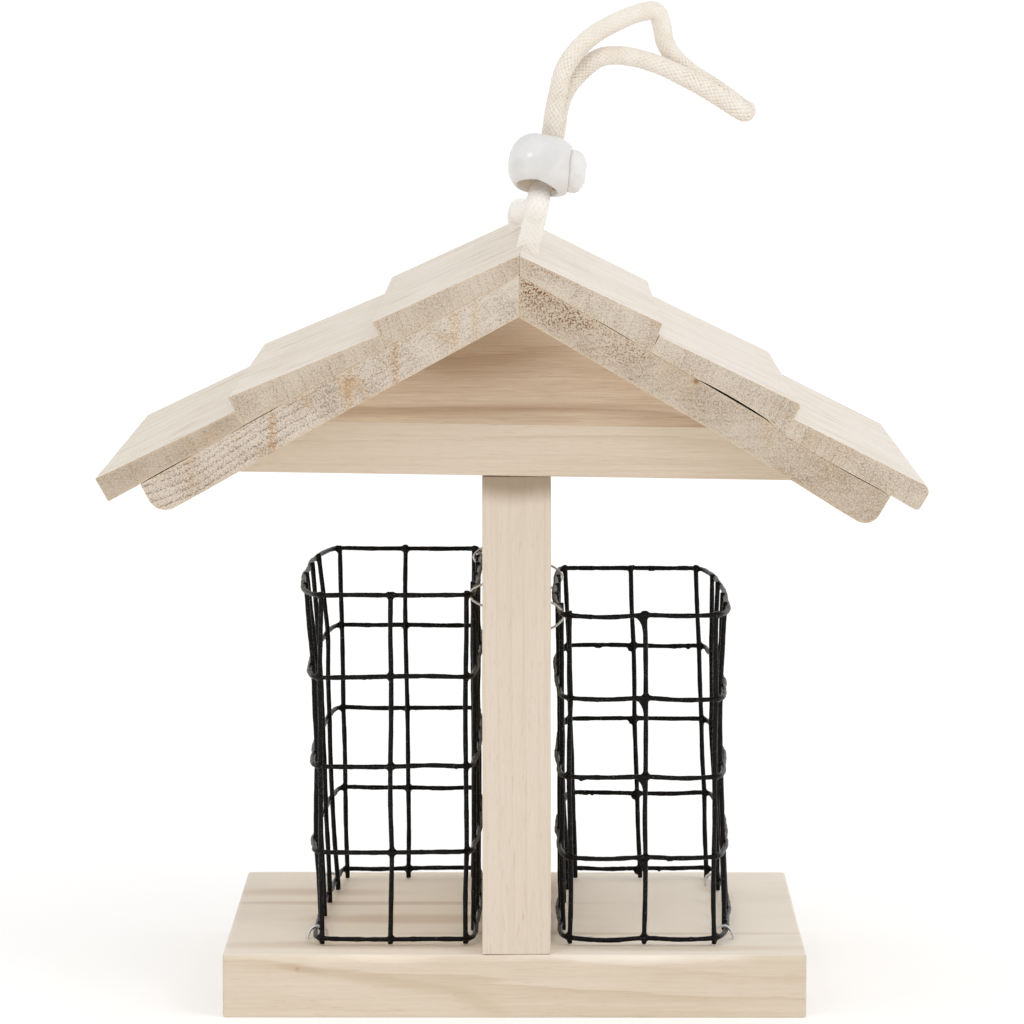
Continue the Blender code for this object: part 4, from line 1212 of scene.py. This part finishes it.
def make_staples(material):
    """Bent staples over the cages' wires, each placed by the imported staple's own box."""
    for node in sorted(frame["nodes"]):
        if "_staple_" not in node:
            continue
        low, high = (np.array(corner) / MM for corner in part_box(node))
        x, y, z = 0.5 * (low + high)
        skew = np.random.RandomState(sum(ord(c) for c in node)).uniform(-0.5, 0.5, 4)
        left = "left" in node
        # bends: outwards, back, up
        if node.startswith("base"):
            # a narrow arch over the lowest ring, its outer leg slightly splayed
            origin = (x, y, base_high.z / MM)
            lift = 0.3 * skew[2]
            bends = [(2.9, -0.4, -1.2), (2.6, -0.3, 0.9), (1.9, -0.2, 2.4), (0.7, 0, 3.1 + lift),
                     (-0.8, 0.2, 2.9 + lift), (-1.7, 0.4, 1.8), (-1.9, 0.5, -1.2)]
            width, thick, start = 0.72, 0.55, (0, 0, 1)
        else:
            # driven into the divider's cheek around the rim wire, spread like a hairpin
            origin = ((div_low.x if left else div_high.x) / MM, y, z)
            bends = [(-1.0, 0.6, 2.9 + skew[0]), (0.9, 0.2, 2.3 + skew[0]), (2.7, -0.2, 0.9),
                     (3.15, -0.4, -0.1), (2.5, -0.2, -1.3), (0.9, 0.2, -2.7 + skew[1]),
                     (-1.0, 0.6, -3.4 + skew[1])]
            width, thick, start = 0.52, 0.42, (1, 0, 0)
        points = np.array(bends) * (-1 if left else 1, 1, 1) + origin
        path = resample(catmull(points, 8), 0.3)[0]
        verts, faces = flat_wire(path, width, thick, start)
        obj = mesh_object(f"{node}_look", verts * MM, faces, material)
        obj.data.set_sharp_from_angle(angle=math.radians(50))
        place(obj, "feeder", node)


# ================================================================ lock
# The lock's own frame: X towards the button, Z up the slide, origin at the body's centre.
joints = {joint["name"]: joint for joint in frame["joints"]}
Z_AXIS = Vector(joints["lock_slide"]["axis"]).normalized()
X_AXIS = -Vector(joints["button_press"]["axis"]).normalized()
Y_AXIS = Z_AXIS.cross(X_AXIS).normalized()
PIVOT = Vector(joints["loop_swing"]["pos_m"])
LOCK_CENTRE = PIVOT - Z_AXIS * 18.5 * MM
LOCK_LOOK = (Matrix.Translation(LOCK_CENTRE + Vector((0.10, 0, -0.58)) * MM)
             @ Matrix((X_AXIS, Y_AXIS, Z_AXIS)).transposed().to_4x4()
             @ Matrix.Diagonal((1.015, 0.99, 0.968, 1.0)))

# place along the axis and radius
BORE = [(-6.4, 2.6), (-4.9, 2.6), (-4.9, 4.5), (3.6, 4.5), (3.6, 5.42), (7.4, 5.42)]
CORD_HOLE = [(-9.0, 6.3), (-7.6, 5.15), (-6.4, 4.45), (-5.2, 4.25),
             (5.2, 4.25), (6.4, 4.45), (7.6, 5.15), (9.0, 6.3)]
BUTTON = [(-2.9, 3.9), (-2.7, 4.2), (5.5, 4.2), (5.62, 4.6), (5.9, 5.0), (6.6, 5.2),
          (8.3, 5.2), (9.2, 4.6), (10.1, 3.3), (10.5, 2.4), (10.55, 2.2)]
SPRING_START, SPRING_END, SPRING_RADIUS, SPRING_TURNS = -6.15, -3.15, 2.0, 3.2


def body_radius(x):
    """Radius of the egg-shaped body; its open end is longer."""
    span = 7.35 if x < 0 else 8.8
    return 7.5 * max(0.0, 1 - (abs(x) / span) ** 2.4) ** (1 / 2.4)


def settle(obj):
    """Leans the seam and the cap outwards below the cord axis, then sets the part in place."""
    for vert in obj.data.vertices:
        x, z = vert.co.x / MM, vert.co.z / MM
        vert.co.x += 0.16 * max(0.0, -z) * eased((x - 1.0) / 5.4) * MM
    obj.data.transform(LOCK_LOOK)


def vertices_mm(obj):
    return np.array([vert.co for vert in obj.data.vertices], float).T / MM


def make_lock_body():
    material = white_plastic("white_plastic_body", (224, 223, 222))
    stations = np.concatenate([-7.35 * np.cos(np.linspace(0.02, math.pi / 2, 26)),
                               np.linspace(0.3, 6.4, 20)])
    verts, faces = lathe([(x, max(0.12, body_radius(x))) for x in stations], 72)
    body = fix_normals(mesh_object("lock_body_look", verts * MM, faces, material))
    cut(body, "bore_tool", *lathe(BORE, 64))
    cut(body, "hole_tool", *lathe(CORD_HOLE, 64, "Z"))
    remesh(body, voxel=0.14 * MM, smooth=6)
    x, y, z = vertices_mm(body)
    near = np.sqrt(x * x + y * y + z * z) < 7.2
    inside = np.clip((5.6 - np.hypot(x, y)) / 1.2, 0, 1) * near
    open_face = np.exp(-((x - 6.35) / 0.35) ** 2) * (np.hypot(y, z) < 5.9)
    # marks the cord hole and the bore's open face for the painted shade and glow
    paint(body, "inner_shade_glow", np.maximum(inside * 0.9, open_face * 0.6))
    settle(body)
    place(body, "lock", "lock_body")


def make_lock_button():
    """Oval faceted cap on a slotted plunger."""
    material = white_plastic("white_plastic_button", (230, 229, 228))
    verts, faces = lathe(BUTTON, 64)
    # the cap is a little narrower than it is tall
    angle = np.arctan2(verts[:, 2], verts[:, 1])
    cap = verts[:, 0] > 5.55
    squash = np.where(cap, 1 - 0.06 * np.cos(angle) ** 2, 1.0)
    # flat chamfers round the cap's outer half
    eighth = math.pi / 4
    flat = np.cos(eighth / 2) / np.cos((angle + 0.35) % eighth - eighth / 2)
    facet = np.where(cap & (verts[:, 0] > 7.5), flat, 1.0)
    verts[:, 1] *= squash * facet
    verts[:, 2] *= facet
    button = fix_normals(mesh_object("lock_button_look", verts * MM, faces, material))
    outline = []
    for k in range(24):
        cosine, sine = math.cos(2 * math.pi * k / 24), math.sin(2 * math.pi * k / 24)
        outline.append((1.95 + 3.95 * math.copysign(abs(cosine) ** 0.7, cosine),
                        3.7 * math.copysign(abs(sine) ** 0.7, sine)))
    slot_verts = np.array([(x, y, z) for z in (-9.0, 9.0) for x, y in outline])
    cut(button, "slot_tool", slot_verts, skin(2, 24))
    remesh(button, voxel=0.12 * MM, smooth=2)
    # marks the plunger inside the body for the painted shade and glow
    paint(button, "inner_shade_glow", np.clip((6.1 - vertices_mm(button)[0]) / 0.6, 0, 1) * 0.55)
    settle(button)
    place(button, "button", "lock_button")


def make_lock_spring(material):
    """Coil spring behind the plunger."""
    count = 90
    angle = np.linspace(0, 2 * math.pi * SPRING_TURNS, count)
    coil = np.column_stack([np.linspace(SPRING_START, SPRING_END, count),
                            SPRING_RADIUS * np.cos(angle), SPRING_RADIUS * np.sin(angle)])
    verts, faces = tube(coil, 0.2, 8, False, (1, 0, 0))
    spring = mesh_object("lock_spring_look", verts * MM, faces, material)
    spring.data.transform(LOCK_LOOK)
    place(spring, "lock", "lock_spring")
    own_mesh(spring)


# ================================================================ cord
KNOT_Y = 44.3           # knots lie this far to the front and to the back
CORD_HALF_GAP = 2.25    # the loop's two runs lie this far off its middle plane
# x, y, z from the front of the ridge up to the lock
FRONT_LEG = [(2.9, -44.8, 179.2), (3.8, -45.8, 183.0), (4.65, -46.9, 186.7), (5.5, -47.9, 191.1)]
# x, y from the loop's pivot, z
FRONT_IN_LOCK = [(6.2, -2.35, 195.0), (7.0, -2.15, 198.4), (7.7, -2.1, 201.6), (8.3, -2.1, 204.8),
                 (8.8, -2.1, 207.6), (9.1, -2.15, 210.2), (9.5, -2.2, 213.2)]
# x, y from the pivot in half gaps, z
LOOP = [
    (10.3, -1, 217.0), (11.3, -1, 221.0), (13.8, -1, 225.2), (18.3, -1, 229.6), (24.6, -1, 233.1),
    (30.0, -0.8, 235.1), (33.2, -0.4, 235.0), (34.5, 0.2, 231.8), (35.2, 0.7, 228.2),
    (37.4, 1, 224.5), (41.2, 1, 221.0), (45.8, 1, 218.0), (50.4, 0.95, 214.8),
    (53.3, 0.6, 212.6), (54.4, 0, 212.1), (53.9, -0.6, 211.6), (52.0, -0.98, 212.6),
    (48.2, -1, 215.0), (43.5, -1, 217.9), (38.8, -1, 220.4), (34.0, -0.9, 222.6),
    (29.0, -0.55, 224.2), (24.4, -0.1, 224.9), (20.0, 0.4, 224.4), (16.6, 0.8, 222.0),
    (13.4, 1, 218.6), (11.4, 1, 215.2),
]
# x, y from the pivot, z
BACK_IN_LOCK = [(10.3, 2.2, 211.8), (9.9, 2.15, 208.8), (9.3, 2.1, 205.8), (8.4, 2.1, 202.4),
                (7.5, 2.1, 199.2), (6.9, 2.15, 196.4)]
# x, y, z from under the lock along the ridge to the back
BACK_LEG = [(6.2, -43.2, 193.4), (5.0, -41.0, 190.5), (3.2, -37.6, 188.5), (1.9, -33.2, 187.7),
            (1.5, -28.0, 187.5), (1.4, -10.0, 187.0), (1.2, 16.0, 186.3), (0.9, 34.0, 185.6),
            (0.6, 41.4, 184.8), (0.3, 44.6, 182.4)]


def knot(x, y, turn):
    """A knot's control points, two turns about a vertical line, from the bottom up."""
    out = [(x, y, 146.5), (x + 0.6, y + 0.3, 149.5)]
    for k in range(10):
        angle = turn * (2 * math.pi * k / 5.0) + 0.7
        radius = 2.7 * math.sin(math.pi * (k + 0.9) / 10.6) ** 0.5
        out.append((x + radius * math.cos(angle), y + radius * math.sin(angle), 152.4 + 1.02 * k))
    out.append((x, y, 164.6))
    return out


def cord_path():
    """Centre line of the whole cord: front knot, lock, loop, lock, back knot."""
    hole_x = (ROOF_MATRIX @ Vector((0.6 * MM, 0, APEX * MM))).x / MM
    pivot_y = PIVOT.y / MM

    def by_pivot(table, unit=1.0):
        return [(x, pivot_y + y * unit, z) for x, y, z in table]

    return np.array([
        *knot(hole_x, -KNOT_Y, 1),
        (hole_x + 0.3, -KNOT_Y, 169.0), (hole_x + 1.3, -KNOT_Y, 174.0),
        *FRONT_LEG, *by_pivot(FRONT_IN_LOCK), *by_pivot(LOOP, CORD_HALF_GAP),
        *by_pivot(BACK_IN_LOCK), *BACK_LEG,
        (hole_x - 0.2, KNOT_Y + 0.3, 178.6), (hole_x, KNOT_Y, 174.0), (hole_x, KNOT_Y, 169.0),
        *reversed(knot(hole_x, KNOT_Y, -1))], float)


def braid_height(first, second):
    """Height 0..1 and ply phase of the braid; the arguments count yarns along its helices."""
    first_yarn, second_yarn = np.floor(first), np.floor(second)
    over = ((first_yarn + second_yarn) % 2) < 0.5
    across = np.where(over, first - first_yarn, second - second_yarn)
    along = np.where(over, second - second_yarn, first - first_yarn)
    crown = np.sin(math.pi * across) ** 0.75
    lift = np.sin(math.pi * along) ** 0.55
    return crown * (0.35 + 0.65 * lift), across + 0.5 * along


def lock_pinch(path):
    """How far the lock flattens the cord at each point, 0..1."""
    local = (path - np.array(LOCK_CENTRE) / MM) @ np.array((X_AXIS, Y_AXIS, Z_AXIS)).T
    near = np.hypot(local[:, 0], local[:, 1]) < 5.0
    pinch = np.where(near, np.clip(1 - np.abs(local[:, 2] - 3.0) / 13.5, 0, 1), 0.0)
    pinch = np.clip(pinch * 2.2, 0, 1)
    return pinch * pinch * (3 - 2 * pinch)


def make_cord():
    material = braided_cotton()
    path, at = resample(catmull(cord_path(), 14), 0.22)
    # rounding of the sampled curve
    for _ in range(6):
        path[1:-1] = 0.25 * path[:-2] + 0.5 * path[1:-1] + 0.25 * path[2:]
    tangent, normal, side = path_frames(path, False, (0, 1, 0))
    y, z = path[:, 1], path[:, 2]
    radius = 2.46 - 0.30 * np.clip((z - 198.0) / 16.0, 0, 1)
    radius += 0.05 * wave(at * 0.25, 77, 3)
    # thicker in the front leg, between the ridge and the lock
    radius += 0.14 * np.clip((195.0 - z) / 3.0, 0, 1) * (y < -44.0) * (z > 172)
    around = 84
    yarns = 12
    pitch = 2 * math.pi * 2.42 / yarns
    angle = 2 * math.pi * np.arange(around) / around
    turn = angle[None, :] * yarns / (2 * math.pi)
    run = (at / (pitch * 1.05))[:, None]
    sway = 0.25 * wave(at * 0.2, 21, 3)[:, None]
    height, ply = braid_height(turn + run + sway, turn - run + 100.0 - sway)
    fuzz = np.random.RandomState(4).uniform(-1, 1, height.shape)
    # the yarns stand out most just above the lock
    raised = np.clip((z - 199.0) / 5.0, 0, 1) * np.clip((232.0 - z) / 11.0, 0, 1)
    relief = (0.12 + 0.10 * raised)[:, None] * (height - 0.62) + 0.03 * fuzz
    direction = (np.cos(angle)[None, :, None] * normal[:, None]
                 + np.sin(angle)[None, :, None] * side[:, None])
    offset = direction * (radius[:, None] + relief)[..., None]
    # flattened against its neighbour inside the lock
    y_axis = np.array(Y_AXIS)
    squeeze = (1 - 0.20 * lock_pinch(path))[:, None] - 1.0
    offset += (squeeze * (offset @ y_axis))[..., None] * y_axis
    count = len(path)
    # slightly domed ends: a fan about a point beyond each end ring
    verts = np.vstack([(path[:, None] + offset).reshape(-1, 3), path[0] - tangent[0] * 0.5,
                       path[-1] + tangent[-1] * 0.5])
    faces = skin(count, around)[:-2]
    last = (count - 1) * around
    faces += [(len(verts) - 2, (k + 1) % around, k) for k in range(around)]
    faces += [(len(verts) - 1, last + k, last + (k + 1) % around) for k in range(around)]
    obj = mesh_object("hanging_cord", verts * MM, faces, material)
    fix_normals(obj)
    paint(obj, "braid", np.concatenate([height.ravel(), [0.5, 0.5]]))
    paint(obj, "ply", np.concatenate([ply.ravel(), [0.5, 0.5]]))
    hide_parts("cord_leg_front", "cord_leg_back", "cord_loop")
    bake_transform(obj)


# ================================================================ screws
def make_screws(material):
    """Screws with their heads down, one at the front and one at the back."""
    for node in ("divider_screw_front", "divider_screw_back"):
        low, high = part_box(node)
        centre = 0.5 * (low + high)
        head = (high.x - low.x) * 0.5 * PER_METRE
        bottom, tip = low.z * PER_METRE, high.z * PER_METRE
        # height and radius: the recess, the head, the threads, the point
        profile = [(bottom + 1.5, 0.9), (bottom + 1.45, 1.15), (bottom + 0.02, 1.5),
                   (bottom, head - 0.2), (bottom + 0.12, head), (bottom + 0.4, head),
                   (bottom + 2.6, 1.75)]
        z = bottom + 3.4
        while z < tip - 4.5:
            profile += [(z, 1.25), (z + 0.75, 1.25), (z + 1.0, 1.8), (z + 1.12, 1.8)]
            z += 1.5
        profile += [(tip - 4.2, 1.2), (tip - 0.2, 0.15)]
        verts, faces = lathe(profile, 32, "Z")
        verts[:, 0] += centre.x * PER_METRE
        verts[:, 1] += centre.y * PER_METRE
        obj = fix_normals(mesh_object(f"{node}_look", verts * MM, faces, material))
        obj.data.set_sharp_from_angle(angle=math.radians(40))
        place(obj, "feeder", node)


# ================================================================ stage
BACKDROP = 1.05                 # world strength the camera sees
AMBIENT = 0.90                  # world strength that lights the object
KEY = 0.13                      # sun strength, as a share of pi
KEY_FROM = Vector((0.62, -0.46, 0.64))
SOFTBOX_FROM = Vector((-0.40, -0.74, 0.54))
FLOOR_HALF = 14.0               # metres
CAMERA_PLACE = Vector((5.652 * MM, -1333.9 * MM, 251.27 * MM))
CAMERA_LENS = 193.8459375       # mm, on a 36 mm sensor
CAMERA_YAW, CAMERA_PITCH, CAMERA_ROLL = 0.0048635, 0.1029643, -0.000431


def make_floor():
    mat = Shader("studio_floor")
    color = mat.mix(mat.noise(mat.place, scale=0.02), (0.80, 0.80, 0.80, 1), (0.82, 0.82, 0.82, 1))
    material = mat.finish(color, 0.9, **{
        "Specular IOR Level": 0, "Emission Color": (1, 1, 1, 1), "Emission Strength": 0.28})
    corners = [(x * FLOOR_HALF, y * FLOOR_HALF, 0) for x, y in ((-1, -1), (1, -1), (1, 1), (-1, 1))]
    mesh_object("floor", corners, [(0, 1, 2, 3)], material, False)


def make_world():
    """The backdrop is burnt out to white while it lights the object more softly."""
    world = bpy.data.worlds.new("studio")
    bpy.context.scene.world = world
    world.use_nodes = True
    tree = world.node_tree
    back = tree.nodes["Background"]
    back.inputs["Color"].default_value = (1.0, 1.0, 1.0, 1.0)
    path = tree.nodes.new("ShaderNodeLightPath")
    level = tree.nodes.new("ShaderNodeMath")
    level.operation = "MULTIPLY_ADD"
    tree.links.new(path.outputs["Is Camera Ray"], level.inputs[0])
    level.inputs[1].default_value = BACKDROP - AMBIENT
    level.inputs[2].default_value = AMBIENT
    tree.links.new(level.outputs[0], back.inputs["Strength"])


def make_lights():
    sun = bpy.data.lights.new("key", "SUN")
    sun.energy = KEY * math.pi
    sun.angle = math.radians(28)
    sun.color = (1.0, 0.985, 0.965)
    key = link(bpy.data.objects.new("key", sun))
    key.rotation_euler = KEY_FROM.to_track_quat("Z", "Y").to_euler()
    key.visible_glossy = False
    box = bpy.data.lights.new("softbox", "AREA")
    box.shape = "SQUARE"
    box.size = 0.30
    box.energy = 1.3
    soft = link(bpy.data.objects.new("softbox", box))
    soft.location = Vector((0.0, -0.046, 0.2)) + SOFTBOX_FROM * 1.25
    soft.rotation_euler = SOFTBOX_FROM.to_track_quat("Z", "Y").to_euler()


def make_camera():
    camera = bpy.data.cameras.new("camera")
    camera.sensor_width = 36.0
    camera.lens = CAMERA_LENS
    camera.clip_start = 0.01
    camera.clip_end = 50.0
    cam = link(bpy.data.objects.new("camera", camera))
    yaw, pitch, roll = CAMERA_YAW, CAMERA_PITCH, CAMERA_ROLL
    forward = Vector((-math.sin(yaw) * math.cos(pitch), math.cos(yaw) * math.cos(pitch),
                      -math.sin(pitch)))
    level = Vector((math.cos(yaw), math.sin(yaw), 0))
    upright = level.cross(forward)
    right = math.cos(roll) * level + math.sin(roll) * upright
    up = -math.sin(roll) * level + math.cos(roll) * upright
    turn = Matrix((right, up, -forward)).transposed().to_4x4()
    cam.matrix_world = Matrix.Translation(CAMERA_PLACE) @ turn
    scene = bpy.context.scene
    scene.camera = cam
    scene.view_settings.view_transform = "Standard"
    scene.view_settings.look = "None"
    scene.view_settings.exposure = 0.0


# ================================================================ build
steel = bright_steel()
coating = coated_wire()
make_base()
make_divider()
make_gables()
make_roof()
for cage_name in CAGES:
    make_cage(cage_name, coating)
make_staples(steel)
make_screws(steel)
make_lock_body()
make_lock_button()
make_lock_spring(steel)
make_cord()
make_floor()
make_world()
make_lights()
make_camera()
